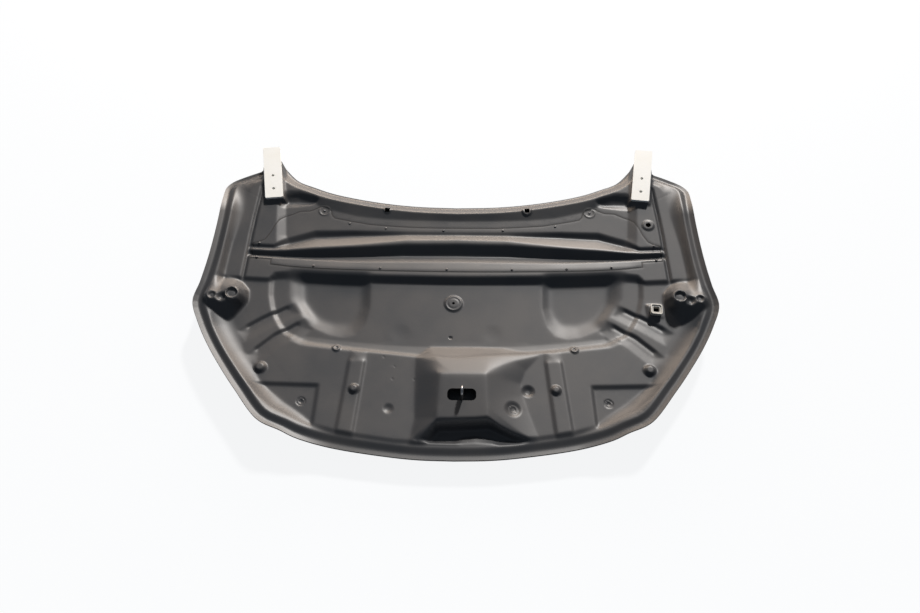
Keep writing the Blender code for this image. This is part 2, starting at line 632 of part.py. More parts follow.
def triangulate(loops, lines, lattice):
    """Plan points and triangles that keep every outline and line as edges."""
    points, edges = [], []
    for run, closed in [(loop, True) for loop in loops] + [(line, False) for line in lines]:
        start = len(points)
        points += [Vector(point) for point in run]
        edges += [(start + k, start + k + 1) for k in range(len(run) - 1)]
        if closed:
            edges.append((start + len(run) - 1, start))
    points += [Vector(point) for point in lattice]
    found, _, faces, _, _, _ = delaunay_2d_cdt(points, edges, [], 0, MERGE)
    return np.array([tuple(point) for point in found]), np.array(faces)


def new_material(name):
    colour, roughness, metallic = FINISHES[name]
    material = bpy.data.materials.new(name)
    material.use_nodes = True
    shader = material.node_tree.nodes["Principled BSDF"]
    shader.inputs["Base Color"].default_value = (*colour, 1)
    shader.inputs["Roughness"].default_value = roughness
    shader.inputs["Metallic"].default_value = metallic
    return material


def add_object(name, mesh, material, collection):
    made = bpy.data.objects.new(name, mesh)
    mesh.materials.clear()
    mesh.materials.append(material)
    collection.objects.link(made)
    return made


def pressed_sheet(name, points, faces, heights, wall, material, collection):
    """A sheet from its upper face, given its wall straight down."""
    used = np.unique(faces)
    cage = bmesh.new()
    corners = {k: cage.verts.new((*points[k], heights[k])) for k in used}
    for face in faces:
        cage.faces.new([corners[k] for k in face])
    made = bmesh.ops.extrude_face_region(cage, geom=cage.faces[:])
    lower = [item for item in made["geom"] if isinstance(item, bmesh.types.BMVert)]
    bmesh.ops.translate(cage, verts=lower, vec=(0, 0, -wall))
    bmesh.ops.recalc_face_normals(cage, faces=cage.faces[:])
    mesh = bpy.data.meshes.new(name)
    cage.to_mesh(mesh)
    cage.free()
    return add_object(name, mesh, material, collection)


def mesh_of(made, collection):
    """Turns a curve object into a mesh object with welded caps."""
    bpy.context.view_layer.update()
    seen = made.evaluated_get(bpy.context.evaluated_depsgraph_get())
    mesh = bpy.data.meshes.new_from_object(seen)
    cage = bmesh.new()
    cage.from_mesh(mesh)
    bmesh.ops.remove_doubles(cage, verts=cage.verts, dist=WELD)
    bmesh.ops.recalc_face_normals(cage, faces=cage.faces[:])
    cage.to_mesh(mesh)
    cage.free()
    name, place = made.name, made.matrix_world.copy()
    material = made.data.materials[0]
    bpy.data.objects.remove(made)
    solid = add_object(name, mesh, material, collection)
    solid.matrix_world = place
    return solid


def flat_plate(name, outlines, wall, material, collection):
    """A plate from closed outlines, of which the inner ones are its holes."""
    curve = bpy.data.curves.new(name, "CURVE")
    curve.dimensions = "2D"
    curve.fill_mode = "BOTH"
    curve.extrude = wall / 2
    curve.materials.append(material)
    for outline in outlines:
        spline = curve.splines.new("POLY")
        spline.points.add(len(outline) - 1)
        for point, (x, y) in zip(spline.points, outline):
            point.co = (x, y, 0, 1)
        spline.use_cyclic_u = True
    made = bpy.data.objects.new(name, curve)
    collection.objects.link(made)
    return made


def make_panels(collection):
    inner = new_material("dark_laminate")
    painted = new_material("outer_gelcoat")

    loops = [OUTLINE, INNER_OUTLINE, HEM_OUTLINE, RIM_OUTLINE] + feature_loops()
    lines = feature_lines()
    closed = [np.vstack((loop, loop[:1])) for loop in loops]
    lattice = floor_lattice(RIM_OUTLINE, FLOOR_STEP, closed + lines)
    points, faces = triangulate(loops, lines, lattice)
    middles = points[faces].mean(axis=1)

    brace_faces = faces[inside(middles, BRACE_LOOP)]
    heights = relief(points)
    pressed_sheet("cross_brace_panel", points, brace_faces, heights, BRACE_WALL, inner, collection)

    kept = inside(middles, INNER_OUTLINE) & ~inside(middles, OPENING_LOOP)
    for hole in HOLES:
        kept &= ~inside(middles, hole)
    heights = inner_height(points)
    pressed_sheet("inner_panel", points, faces[kept], heights, INNER_WALL, inner, collection)

    rings = [OUTLINE, INNER_OUTLINE, HEM_OUTLINE, RIM_OUTLINE]
    closed = [np.vstack((loop, loop[:1])) for loop in rings]
    coarse = floor_lattice(RIM_OUTLINE, SKIN_STEP, closed)
    fine = floor_lattice(RIM_OUTLINE, CURL_STEP, closed)
    bonded = points[~inside(points, HEM_OUTLINE)]
    lattice = np.vstack((fine[line_distance(fine, TURNED_EDGE) < CURL_WIDTH],
                         coarse[line_distance(coarse, TURNED_EDGE) > CURL_WIDTH], bonded))
    points, faces = triangulate(rings, [], lattice)
    faces = faces[inside(points[faces].mean(axis=1), OUTLINE)]
    heights = skin_height(points) + SKIN_WALL
    pressed_sheet("outer_skin", points, faces, heights, SKIN_WALL, painted, collection)


def make_hinge_plates(collection):
    material = new_material("hinge_plate_paint")
    front = np.array((PLATE_FRONT,))
    base = float(plate_seat_height(front)[0])
    slope_x = float(plate_seat_height(front + (1, 0))[0]) - base
    slope_y = float(plate_seat_height(front + (0, 1))[0]) - base
    normal = Vector((-slope_x, -slope_y, 1)).normalized()
    half = PLATE_WIDTH / 2
    body = rounded_box((-half, half), (0, PLATE_LENGTH), PLATE_CORNER, 2)
    holes = [circle((0, place), PLATE_HOLE_RADIUS) for place in PLATE_HOLES]
    for side, label in ((1, "right"), (-1, "left")):
        upright = Vector((normal.x * side, normal.y, normal.z))
        ahead = Vector((math.sin(PLATE_LEAN) * side, math.cos(PLATE_LEAN), 0))
        ahead = (ahead - upright * ahead.dot(upright)).normalized()
        across = ahead.cross(upright)
        made = flat_plate("hinge_plate_" + label, [body] + holes, PLATE_WALL, material, collection)
        turn = Matrix((across, ahead, upright)).transposed().to_4x4()
        start = Vector((PLATE_FRONT[0] * side, PLATE_FRONT[1], base))
        turn.translation = start + upright * (SEAT_GAP + PLATE_WALL / 2)
        made.matrix_world = turn
        mesh_of(made, collection)


def make_striker(collection):
    steel = new_material("striker_steel")
    dark = new_material("bracket_steel")
    under = LATCH_TOP - INNER_WALL - SEAT_GAP
    floor = under - BRACKET_DEPTH
    left = LATCH_HOLE_X[0] - BRACKET_CLEAR - STRIKER_X
    right = LATCH_HOLE_X[1] + BRACKET_CLEAR - STRIKER_X
    wall, flange = BRACKET_WALL, BRACKET_FLANGE
    hat = [(left - flange, under), (left - flange, under - wall), (left - wall, under - wall),
           (left - wall, floor), (right + wall, floor), (right + wall, under - wall),
           (right + flange, under - wall), (right + flange, under), (right, under),
           (right, floor + wall), (left, floor + wall), (left, under)]
    bracket = flat_plate("striker_bracket", [hat], BRACKET_LENGTH, dark, collection)
    middle_y = sum(STRIKER_LEGS_Y) / 2
    upright = Matrix.Rotation(math.pi / 2, 4, "X")
    bracket.matrix_world = Matrix.Translation((STRIKER_X, middle_y, 0)) @ upright
    mesh_of(bracket, collection)

    bend = (STRIKER_LEGS_Y[1] - STRIKER_LEGS_Y[0]) / 2
    top = LATCH_TOP + STRIKER_REACH - STRIKER_WIRE / 2
    foot = floor + wall + SEAT_GAP
    arc = [(STRIKER_X, middle_y - bend * math.cos(a), top - bend + bend * math.sin(a))
           for a in np.linspace(0, math.pi, STRIKER_BEND_STEPS + 1)]
    route = [(STRIKER_X, STRIKER_LEGS_Y[0], foot)] + arc + [(STRIKER_X, STRIKER_LEGS_Y[1], foot)]
    curve = bpy.data.curves.new("striker_loop", "CURVE")
    curve.dimensions = "3D"
    curve.bevel_depth = STRIKER_WIRE / 2
    curve.bevel_resolution = 3
    curve.use_fill_caps = True
    curve.materials.append(steel)
    spline = curve.splines.new("POLY")
    spline.points.add(len(route) - 1)
    for point, place in zip(spline.points, route):
        point.co = (*place, 1)
    made = bpy.data.objects.new("striker_loop", curve)
    collection.objects.link(made)
    mesh_of(made, collection)


def make_socket(collection):
    material = new_material("socket_plastic")
    body = square((0, 0), SOCKET_SIDE)
    hole = square((0, 0), SOCKET_HOLE)
    made = flat_plate("stay_socket", [body, hole], SOCKET_HEIGHT, material, collection)
    seat = float(relief(np.array((SOCKET_PLACE,)))[0])
    made.matrix_world = Matrix.Translation((*SOCKET_PLACE, seat + SEAT_GAP + SOCKET_HEIGHT / 2))
    mesh_of(made, collection)


def rivet_places():
    seam = metres(SEAM)
    rear = seam[:6]
    front = seam[:-6:-1]
    places = [(x * MM, float(np.interp(abs(x) * MM, rear[:, 0], rear[:, 1])) - RIVET_INSET)
              for x in REAR_RIVETS_X]
    places += [(x * MM, float(np.interp(abs(x) * MM, front[:, 0], front[:, 1])) + RIVET_INSET)
               for x in FRONT_RIVETS_X]
    for x, y in REAR_RIVETS_EAR + FRONT_RIVETS_END:
        places += [(x * MM, y * MM), (-x * MM, y * MM)]
    return places


def make_rivets(collection):
    """Domed rivet heads that share one mesh, each lying on the cross brace's slope."""
    material = new_material("rivet_paint")
    cage = bmesh.new()
    bmesh.ops.create_cone(cage, cap_ends=True, segments=RIVET_SIDES, radius1=RIVET_RADIUS,
                          radius2=RIVET_RADIUS * RIVET_TOP_SHARE, depth=RIVET_HEIGHT)
    mesh = bpy.data.meshes.new("rivet_head")
    cage.to_mesh(mesh)
    cage.free()
    brace = bpy.data.objects["cross_brace_panel"]
    face = BVHTree.FromObject(brace, bpy.context.evaluated_depsgraph_get())
    for number, place in enumerate(sorted(rivet_places()), start=1):
        rivet = add_object(f"brace_rivet_{number:02d}", mesh, material, collection)
        rivet.matrix_world = seat_on(face, place, RIVET_RADIUS, SEAT_GAP + RIVET_HEIGHT / 2)


def seat_on(face, place, radius, lift):
    """Where a round head lies on a sheet: square to the slope under it and clear of every facet."""
    above = Vector((0, 0, 1))
    ring = [Vector((*point, PROBE_HEIGHT)) for point in circle(place, radius, SEAT_PROBES)]
    landed = [face.ray_cast(point, -above)[0] for point in ring]
    right, rear, left, front = landed[::SEAT_PROBES // 4]
    normal = (right - left).cross(rear - front).normalized()
    middle = face.ray_cast(Vector((*place, PROBE_HEIGHT)), -above)[0]
    proud = max([0] + [(point - middle).dot(normal) for point in landed])
    turn = normal.to_track_quat("Z", "Y").to_matrix().to_4x4()
    turn.translation = middle + normal * (lift + proud)
    return turn


def move_to_origin(collection):
    """Puts the origin on the ground under the middle of everything in the collection."""
    bpy.context.view_layer.update()
    corners = np.array([made.matrix_world @ Vector(corner)
                        for made in collection.objects for corner in made.bound_box])
    low, high = corners.min(axis=0), corners.max(axis=0)
    shift = Vector(((low[0] + high[0]) / -2, (low[1] + high[1]) / -2, -low[2]))
    for made in collection.objects:
        made.location += shift


def main():
    for old in list(bpy.data.objects):
        bpy.data.objects.remove(old)
    collection = bpy.data.collections.new("car_bonnet")
    bpy.context.scene.collection.children.link(collection)
    make_panels(collection)
    make_hinge_plates(collection)
    make_striker(collection)
    make_socket(collection)
    make_rivets(collection)
    move_to_origin(collection)


main()
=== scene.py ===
"""Looks of the car bonnet that lies on its outer skin, inner side up.

The moulded sheets follow the plan outlines of the solids, on a fine mesh whose edges are rounded as a
mould leaves them. Everything is drawn from a datum on the crown of the skin and is then moved to where
the solids are.
"""
import math

import bmesh
import bpy
import numpy as np
from mathutils import Matrix, Vector
from mathutils.geometry import delaunay_2d_cdt


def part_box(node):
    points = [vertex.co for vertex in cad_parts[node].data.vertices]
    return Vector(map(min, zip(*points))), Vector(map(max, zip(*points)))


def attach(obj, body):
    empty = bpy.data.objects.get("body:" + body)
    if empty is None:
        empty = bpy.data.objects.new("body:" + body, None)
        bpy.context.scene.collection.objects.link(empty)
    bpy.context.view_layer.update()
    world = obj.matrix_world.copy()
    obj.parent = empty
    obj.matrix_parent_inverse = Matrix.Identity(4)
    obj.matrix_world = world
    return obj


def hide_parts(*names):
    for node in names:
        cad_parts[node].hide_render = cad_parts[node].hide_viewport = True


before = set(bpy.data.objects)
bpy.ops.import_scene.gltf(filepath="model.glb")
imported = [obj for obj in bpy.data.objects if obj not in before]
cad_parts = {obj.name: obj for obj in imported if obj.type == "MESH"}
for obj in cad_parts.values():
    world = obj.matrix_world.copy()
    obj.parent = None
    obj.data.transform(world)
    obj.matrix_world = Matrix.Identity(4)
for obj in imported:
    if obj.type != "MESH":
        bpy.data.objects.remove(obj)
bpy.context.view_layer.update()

MM = 0.001


def metres(points):
    """Places that are given in millimetres."""
    return np.array(points, dtype=float) * MM


def mirrored(points):
    return np.asarray(points) * (-1, 1)


def both_halves(half):
    """A closed outline from a half that starts and ends on the middle line."""
    return np.vstack((half, mirrored(half)[-2:0:-1]))


# Walls and the clearances between sheets
SKIN_WALL = 2.5 * MM
INNER_WALL = 2.2 * MM
BRACE_WALL = 2.5 * MM
BOND_GAP = 0.4 * MM
SEAT_GAP = 0.3 * MM

# Crown of the outer skin: its rise across the width and along the length
CROWN_ACROSS = 0.07
CROWN_ACROSS_4 = 0.03
CROWN_ALONG = 0.12

# Turned-up edge of the outer skin, at the nose and at the sides
CURL_WIDTH = 120 * MM
CURL_NOSE = 12 * MM
CURL_SIDE = 40 * MM
CURL_POWER = 1.5
CORNER_START = 300 * MM
CORNER_END = 500 * MM
CURL_FADE_START = 290 * MM
CURL_FADE_END = 430 * MM
CURL_REAR_SHARE = 0.1

# Levels of the inner panel's upper face above the outer skin's lower face
HEM_LEVEL = SKIN_WALL + BOND_GAP + INNER_WALL
RIM_NOSE_LEVEL = 14 * MM
RIM_SIDE_LEVEL = 20 * MM
BOWL_LEVEL = 6.5 * MM
WELL_LEVEL = 15 * MM
SHELF_LEVEL = 24 * MM
DECK_LEVEL = 30 * MM
BASIN_LEVEL = 22 * MM
TOWER_LEVEL = 62 * MM
LATCH_TOP = 66 * MM

# Strips round the edge, each by its distance from the outline
SKIN_LIP = 1.2 * MM
HEM_SIDE = 14 * MM
RIM_SIDE = 31 * MM
HEM_REAR = 7 * MM
RIM_REAR = 36 * MM

# Where the rim's turned-up height gives way to the deck's level, along Y and then across
RIM_BLEND_Y = (250 * MM, 350 * MM)
RIM_BLEND_X = (560 * MM, 630 * MM)

# Plan of the right half, or of the whole that its mirror image completes
REAR_EDGE = metres([(0, 363), (133, 367), (257, 380), (373, 401), (444, 423), (500, 446), (557, 503)])
SIDE_EDGE = metres([
    (606, 467), (636, 451), (658, 438), (678, 425), (692, 411), (701, 392), (702, 372), (698, 335),
    (695, 290), (695, 210), (697, 130), (702, 50), (708, -16), (681, -79), (643, -143), (596, -208),
    (552, -263), (486, -338), (425, -365), (376, -384), (279, -405), (163, -421), (85, -428), (0, -430)])
RIM_LOOP = both_halves(metres([
    (0, 328), (130, 332), (240, 342), (372, 362), (480, 392), (560, 424), (600, 428), (628, 416),
    (648, 402), (663, 384), (666, 362), (662, 325), (661, 200), (660, 85), (655, -50), (645, -87),
    (613, -137), (580, -179), (543, -223), (494, -276), (456, -305), (430, -317), (379, -341),
    (356, -350), (295, -367), (257, -373), (200, -381), (150, -388), (96, -391), (0, -393)]))
FLOOR_LOOP = both_halves(metres([
    (0, 324), (130, 328), (240, 338), (372, 357), (480, 386), (560, 413), (596, 415), (616, 402),
    (626, 382), (627, 352), (631, 300), (640, 235), (646, 190), (648, 150), (649, 100), (645, 50),
    (625, 0), (597, -62), (573, -102), (556, -146), (532, -173), (503, -225), (473, -253), (428, -286),
    (381, -316), (352, -340), (292, -357), (257, -363), (200, -371), (150, -378), (96, -381),
    (0, -383)]))
SHELF_LOOP = both_halves(metres([
    (0, -143), (100, -143), (150, -141), (200, -139), (280, -136), (370, -127), (414, -122), (446, -109),
    (440, -92), (424, -66), (418, -36), (434, -18), (452, 6), (465, 26), (478, 130), (0, 130)]))
WELL_LOOP = both_halves(metres([
    (0, -115), (108, -114), (217, -109), (310, -101), (405, -92), (398, -70), (388, -40), (406, -9),
    (426, 20), (445, 130), (0, 130)]))
BOWL_LOOP = metres([
    (480, 130), (465, 26), (452, 6), (425, -25), (400, -58), (341, -84), (304, -90), (272, -80),
    (252, -50), (243, 5), (246, 60), (252, 130)])
BOWL_BOTTOM_LOOP = metres([
    (446, 130), (427, 20), (406, -9), (371, -36), (334, -47), (293, -43), (272, -20), (262, 10),
    (266, 130)])
DECK_FOOT_LOOP = both_halves(metres([
    (0, 86), (330, 86), (470, 88), (519, 82), (532, 71), (700, 71), (700, 560), (0, 560)]))
DECK_LOOP = both_halves(metres([
    (0, 104), (335, 106), (470, 108), (516, 100), (528, 80), (690, 80), (690, 550), (0, 550)]))
BASIN_LOOP = both_halves(metres([
    (0, 228), (150, 224), (310, 202), (420, 190), (500, 180), (522, 192), (527, 214), (541, 335),
    (528, 374), (481, 381), (433, 372), (372, 360), (235, 340), (130, 330), (0, 326)]))
BASIN_FLOOR_LOOP = both_halves(metres([
    (0, 252), (150, 251), (310, 246), (420, 236), (490, 212), (503, 232), (518, 341), (518, 356),
    (480, 360), (433, 350), (380, 330), (300, 312), (213, 305), (130, 303), (0, 302)]))

# Corrugation of the cross brace: the lines where its slope changes, from rear to front, each by the
# distance from the middle and the place along +Y, and the depth that each line has below the deck
BRACE_STATIONS = (0, 150, 310, 420, 500, 530, 592, 600)
BRACE_CREASES = (
    ((262, 262, 260, 254, 222, 192, 190, 190), (0, 0, 0, 0, 0, 0, 0, 0)),
    ((252, 251, 246, 236, 204, 185, 184, 184), (2, 3, 9, 10, 8, 7, 7, 0)),
    ((228, 224, 202, 190, 178, 176, 175, 175), (-3, -3, -3, -2, 0, 0, 0, 0)),
    ((214, 211, 194, 183, 173, 171, 170, 170), (-3, -3, -3, -2, 0, 0, 0, 0)),
    ((184, 182, 176, 168, 162, 160, 160, 160), (18, 18, 18, 17, 14, 12, 12, 0)),
    ((154, 152, 148, 150, 151, 151, 151, 151), (3, 3, 3, 3, 2, 1, 0, 0)),
    ((128, 128, 128, 128, 130, 136, 146, 146), (0, 0, 0, 0, 0, 0, 0, 0)),
)

# Cross brace outline, its seat in the inner panel, and the opening that it closes
SEAM_LOOP = both_halves(metres([
    (0, 279), (120, 279), (190, 282), (260, 286), (322, 296), (366, 304), (374, 312), (379, 328),
    (389, 339), (404, 344), (419, 341), (432, 332), (446, 325), (474, 322), (496, 309), (516, 299),
    (530, 284), (541, 258), (548, 236), (560, 212), (575, 202), (592, 196), (592, 141), (534, 141),
    (533, 124), (470, 119), (385, 117), (230, 117), (0, 117)]))
SEAM_WIDTH = 4.6 * MM
SEAM_GROOVE_DEPTH = 0.3 * MM
SEAM_GROOVE_WIDTH = 3.5 * MM
# Painted shade in the seam: a near-black strip laid into the gap between the inner panel and the cross
# brace, so that the seam shows as a dark line; its width, its depth under the surface and its wall
SEAM_SHADE_WIDTH = 4.2 * MM
SEAM_SHADE_DEPTH = 0.5 * MM
SEAM_SHADE_WALL = 1.2 * MM
OPENING_LOOP = both_halves(metres([
    (0, 260), (180, 262), (300, 274), (362, 284), (404, 310), (440, 304), (484, 290), (510, 262),
    (526, 225), (544, 198), (574, 184), (574, 160), (512, 158), (505, 142), (380, 137), (0, 137)]))

# Narrow channel between the hinge rail and the side floor
RAIL_LINE = metres([(591, 401), (594, 346), (597, 290), (599, 230), (599, 130), (599, 50)])
RAIL_CHANNEL_WIDTH = 9 * MM
RAIL_CHANNEL_FLOOR = 3 * MM
RAIL_CHANNEL_DEPTH = 7 * MM

# Two channels that run out from the well on each side
SIDE_CHANNELS = (metres([(446, 15), (487, -13), (530, -42), (586, -86)]),
                 metres([(413, -33), (457, -68), (489, -91), (550, -156)]))
SIDE_CHANNEL_WIDTH = 46 * MM
SIDE_CHANNEL_REAR_WALL = 5 * MM
SIDE_CHANNEL_FRONT_WALL = 38 * MM
SIDE_CHANNEL_END = 30 * MM
SIDE_CHANNEL_DEPTH = 6 * MM

# Terrace beside each bowl, a little below the shelf, and the narrow wall that leads down to it
TERRACE_LOOP = both_halves(metres([
    (0, -160), (400, -118), (462, -92), (482, -66), (500, -36), (511, -8), (521, 27), (526, 66),
    (528, 130), (0, 130)]))
TERRACE_FLOOR_LOOP = both_halves(metres([
    (0, -150), (395, -106), (450, -82), (471, -60), (489, -32), (500, -4), (510, 30), (515, 68),
    (516, 130), (0, 130)]))
TERRACE_LEVEL = 19 * MM

# Raised bands and sunken pads of the front shelf
BAND_LOOP = metres([(250, -400), (297, -400), (281, -128), (234, -128)])
BAND_TOP_LOOP = metres([(255, -400), (292, -400), (277, -165), (241, -165)])
BAND_RISE = 4 * MM
PAD_X = (350 * MM, 530 * MM)
PAD_Y = (-350 * MM, -233 * MM)
PAD_WALL = 6 * MM
PAD_DEPTH = 5 * MM

# Scoop in each rear corner, with a steep wall to the rear
SCOOP_LOOP = metres([
    (418, 366), (440, 378), (481, 389), (514, 387), (535, 376), (540, 350), (528, 326), (500, 332),
    (470, 338), (444, 344), (424, 350)])
SCOOP_FLOOR_LOOP = metres([
    (432, 360), (446, 364), (481, 372), (508, 370), (518, 361), (516, 352), (498, 352), (470, 354),
    (446, 356)])
SCOOP_DEPTH = 7 * MM

# Bump-stop towers
TOWER_FOOT_LOOP = metres([
    (686, -13), (691, 20), (686, 48), (672, 66), (640, 80), (614, 74), (594, 60), (577, 38), (576, 10),
    (585, -18), (596, -42), (610, -60), (640, -46)])
TOWER_TOP_LOOP = metres([
    (674, 2), (666, 9), (646, 4), (630, 8), (620, 20), (606, 28), (592, 24), (584, 8), (588, -8),
    (602, -16), (640, -15), (662, -11)])

# Latch box, not quite in the middle of the bonnet, as full outlines, and the steep wall that cuts it
# off in front
LATCH_FOOT_LOOP = metres([
    (-70, -115), (60, -115), (130, -118), (226, -142), (186, -186), (170, -225), (173, -260),
    (184, -300), (200, -350), (218, -400), (-122, -400), (-106, -366), (-99, -323), (-102, -228),
    (-104, -150)])
LATCH_LOOP = metres([
    (-40, -212), (79, -212), (82, -326), (84, -399), (-66, -399), (-50, -350), (-44, -332), (-43, -265)])
LATCH_WALL_FOOT_LOOP = metres([
    (-124, -400), (-76, -397), (-54, -372), (-38, -351), (50, -347), (89, -344), (114, -358),
    (152, -378), (190, -388), (230, -392), (230, -100), (-124, -100)])
LATCH_WALL_LOOP = metres([
    (-124, -388), (-88, -378), (-66, -356), (-44, -333), (50, -330), (82, -327), (106, -343),
    (147, -364), (186, -373), (230, -378), (230, -100), (-124, -100)])

# Hollow in front of the latch box, with a rise in the middle of its front
NOSE_POCKET_LOOP = metres([
    (-110, -383), (0, -385), (20, -391), (206, -391), (196, -380), (112, -346), (84, -334), (-58, -340),
    (-90, -366)])
NOSE_POCKET_FLOOR_LOOP = metres([
    (-94, -381), (-74, -372), (-50, -354), (88, -346), (114, -358), (176, -386), (150, -390),
    (114, -390), (96, -374), (50, -364), (16, -370), (0, -383)])
NOSE_POCKET_DEPTH = 13 * MM

# Round features of both sides, then of one side: place, foot radius, top radius and rise, in millimetres
PAIRED_ROUNDS = (
    ((505, -192), 19, 7, 9),
    ((259, -246), 16, 6, 8),
    ((318, -126), 13, 8, 3),
    ((318, -126), 6, 2, -3),
    ((390, -281), 13, 8, -3),
    ((600, 8), 28, 20, 5),
    ((606, 8), 16, 11, -8),
    ((657, 0), 12, 5, -6),
    ((632, -4), 17, 2, -9),
)
SINGLE_ROUNDS = (
    ((-7, 23), 28, 21, 3.5),
    ((-168, -297), 16, 2, -3),
    ((147, -300), 24, 6, -6),
    ((188, -247), 19, 4, -6),
    ((565, 268), 20, 13, 2.5),
    ((212, 334), 18, 13, 2),
    ((-212, 334), 14, 10, 1.5),
    ((-160, -178), 3, 1, -0.6),
    ((-163, -214), 4, 1, -0.6),
    ((-106, -215), 4, 1, -0.6),
    ((-190, -150), 4, 1, -0.6),
    ((-14, -85), 5, 2, -3),
    ((-150, -75), 34, 4, -0.6),
    ((100, -75), 34, 4, -0.6),
)
# Rings, by the place and radius of their crest, their width and their rise
PAIRED_RINGS = (
    ((390, -281), 7, 2.2, 2.5),
    ((401, 326), 15, 2.2, 1.2),
)
SINGLE_RINGS = (
    ((-7, 23), 17, 3, -1.0),
    ((147, -300), 9, 2.2, 2.0),
    ((212, 334), 11.5, 2.0, 1.6),
)

# Holes through the inner panel
LATCH_HOLE_X = (-19 * MM, 54 * MM)
LATCH_HOLE_Y = (-285 * MM, -253 * MM)
LATCH_HOLE_ROUND = 12 * MM
NOZZLE_HOLE = 15 * MM
NOZZLE_PLACES = ((212, 334), (-212, 334))
RAIL_HOLE_RADIUS = 7.5 * MM
RAIL_HOLE_PLACE = (565, 268)
DISC_HOLE_RADIUS = 4 * MM
DISC_HOLE_PLACE = (-7, 23)

# Stay socket on the right side, with its flat seat
SOCKET_PLACE = (547 * MM, -15 * MM)
SOCKET_SIDE = 31 * MM
SOCKET_HEIGHT = 12 * MM
SOCKET_HOLE = 16 * MM
SOCKET_SEAT_MARGIN = 3 * MM
SOCKET_SEAT_WALL = 4 * MM
SOCKET_SEAT_RISE = 3 * MM

# Hinge plates, leaning outwards to the rear, on flat seats
PLATE_FRONT = (549.5 * MM, 350 * MM)
PLATE_WIDTH = 52 * MM
PLATE_LENGTH = 186 * MM
PLATE_WALL = 8 * MM
PLATE_LEAN = math.radians(10.5)
PLATE_HOLE_RADIUS = 4.2 * MM
PLATE_HOLES = (32 * MM, 80 * MM)
PLATE_SEAT_MARGIN = 2 * MM
PLATE_SEAT_WALL = 5 * MM
PLATE_SEAT_RISE = 5 * MM
PLATE_SEAT_TOUCH = (18 * MM, 60 * MM)
PLATE_CORNER = 4 * MM

# Striker loop and the hat-shaped bracket that holds it under the latch hole
STRIKER_X = 18 * MM
STRIKER_LEGS_Y = (-279 * MM, -259 * MM)
STRIKER_WIRE = 7 * MM
STRIKER_REACH = 38 * MM
STRIKER_BEND_STEPS = 28
BRACKET_WALL = 2 * MM
BRACKET_DEPTH = 28 * MM
BRACKET_FLANGE = 13 * MM
BRACKET_CLEAR = 2 * MM
BRACKET_LENGTH = 56 * MM
STRIKER_SIDES = 8

# Rivet heads: size, and their profile from the flange to the pit in the middle, as shares of it
RIVET_RADIUS = 3.5 * MM
RIVET_HEIGHT = 2 * MM
RIVET_SIDES = 24
RIVET_COUNT = 17
RIVET_PROFILE = ((1.0, 0.0), (1.0, 0.28), (0.93, 0.5), (0.72, 0.78), (0.46, 0.95), (0.34, 0.97),
                 (0.28, 0.75), (0.10, 0.7))

# Rounded edges of the small pieces
PLATE_EDGE = 1.2 * MM
BRACKET_EDGE = 0.6 * MM
SOCKET_EDGE = 0.6 * MM
EDGE_SEGMENTS = 3
EDGE_LEAST_ANGLE = math.radians(40)
SOCKET_CORNER = 6 * MM
SOCKET_HOLE_CORNER = 3 * MM
SOCKET_LIP = 2.6 * MM
SOCKET_TURN = math.radians(-6)
SOCKET_CORNER_SIDES = 8

# Finishes: the two shades, the lowest and highest roughness, the scales of the broad and the fine
# noise, the depth of the fine relief and, where they matter, the metallic share and the noise's stretch
FINISHES = {
    "moulded_laminate": (
        ((0.036, 0.038, 0.042), (0.050, 0.049, 0.050)), (0.40, 0.52), (9.0, 420.0), 0.02 * MM),
    "dark_gelcoat": (
        ((0.030, 0.031, 0.033), (0.040, 0.040, 0.041)), (0.30, 0.42), (6.0, 160.0), 0.015 * MM),
    # Painted shade: near black, for the strip that fills the seam gap
    "painted_seam_shade": (
        ((0.006, 0.006, 0.007), (0.014, 0.014, 0.015)), (0.55, 0.75), (60.0, 500.0), 0.1 * MM),
    "cream_plate_paint": (
        ((0.94, 0.94, 0.89), (0.96, 0.97, 0.95)), (0.36, 0.54), (14.0, 380.0), 0.05 * MM),
    "zinc_plated_wire": (
        ((0.26, 0.26, 0.27), (0.42, 0.42, 0.43)), (0.26, 0.44), (90.0, 700.0), 0.03 * MM,
        1.0, (1, 1, 0.12)),
    "black_bracket_paint": (
        ((0.022, 0.022, 0.024), (0.045, 0.045, 0.047)), (0.45, 0.65), (40.0, 600.0), 0.06 * MM),
    "pale_socket_plastic": (
        ((0.56, 0.54, 0.49), (0.66, 0.64, 0.59)), (0.42, 0.58), (60.0, 700.0), 0.04 * MM),
    "socket_flange_plastic": (
        ((0.36, 0.345, 0.31), (0.44, 0.425, 0.39)), (0.42, 0.58), (60.0, 700.0), 0.04 * MM),
    "dark_rivet_paint": (
        ((0.07, 0.07, 0.075), (0.13, 0.13, 0.135)), (0.28, 0.42), (200.0, 900.0), 0.03 * MM, 0.4),
}

# How much the fine noise shifts the colour, and where its ramp starts and ends
FINE_SHARE = 0.35
NOISE_DETAIL = (4.0, 3.0)
RAMP_START = 0.50
RAMP_END = 0.85

# Fine mesh: the grid on which the relief is worked out, and how far its edges are rounded
GRID_STEP = 2.0 * MM
GRID_MARGIN = 30 * MM
EDGE_ROUND = 2.6 * MM
SOFT_ROUND = 8.0 * MM
BOWL_SOFTNESS = 1.0
LATCH_SOFTNESS = 0.45
LATCH_SOFT_END = -300 * MM
TOWER_SOFTNESS = 0.45
OUTLINE_STEP = 7 * MM
EDGE_STEP = 24 * MM
FINE_STEP = 3.4 * MM
ROUND_SIDES = 40
BEADS_PER_STEP = 4
STRAIGHT_TURN = 0.02
MERGE = 0.02 * MM
SKIN_STEP = 12 * MM

# Rows and columns that are used, one in so many, and the least bend of the surface for that
COARSE_SHARES = ((4, 0.0), (2, 2.0), (1, 9.0))

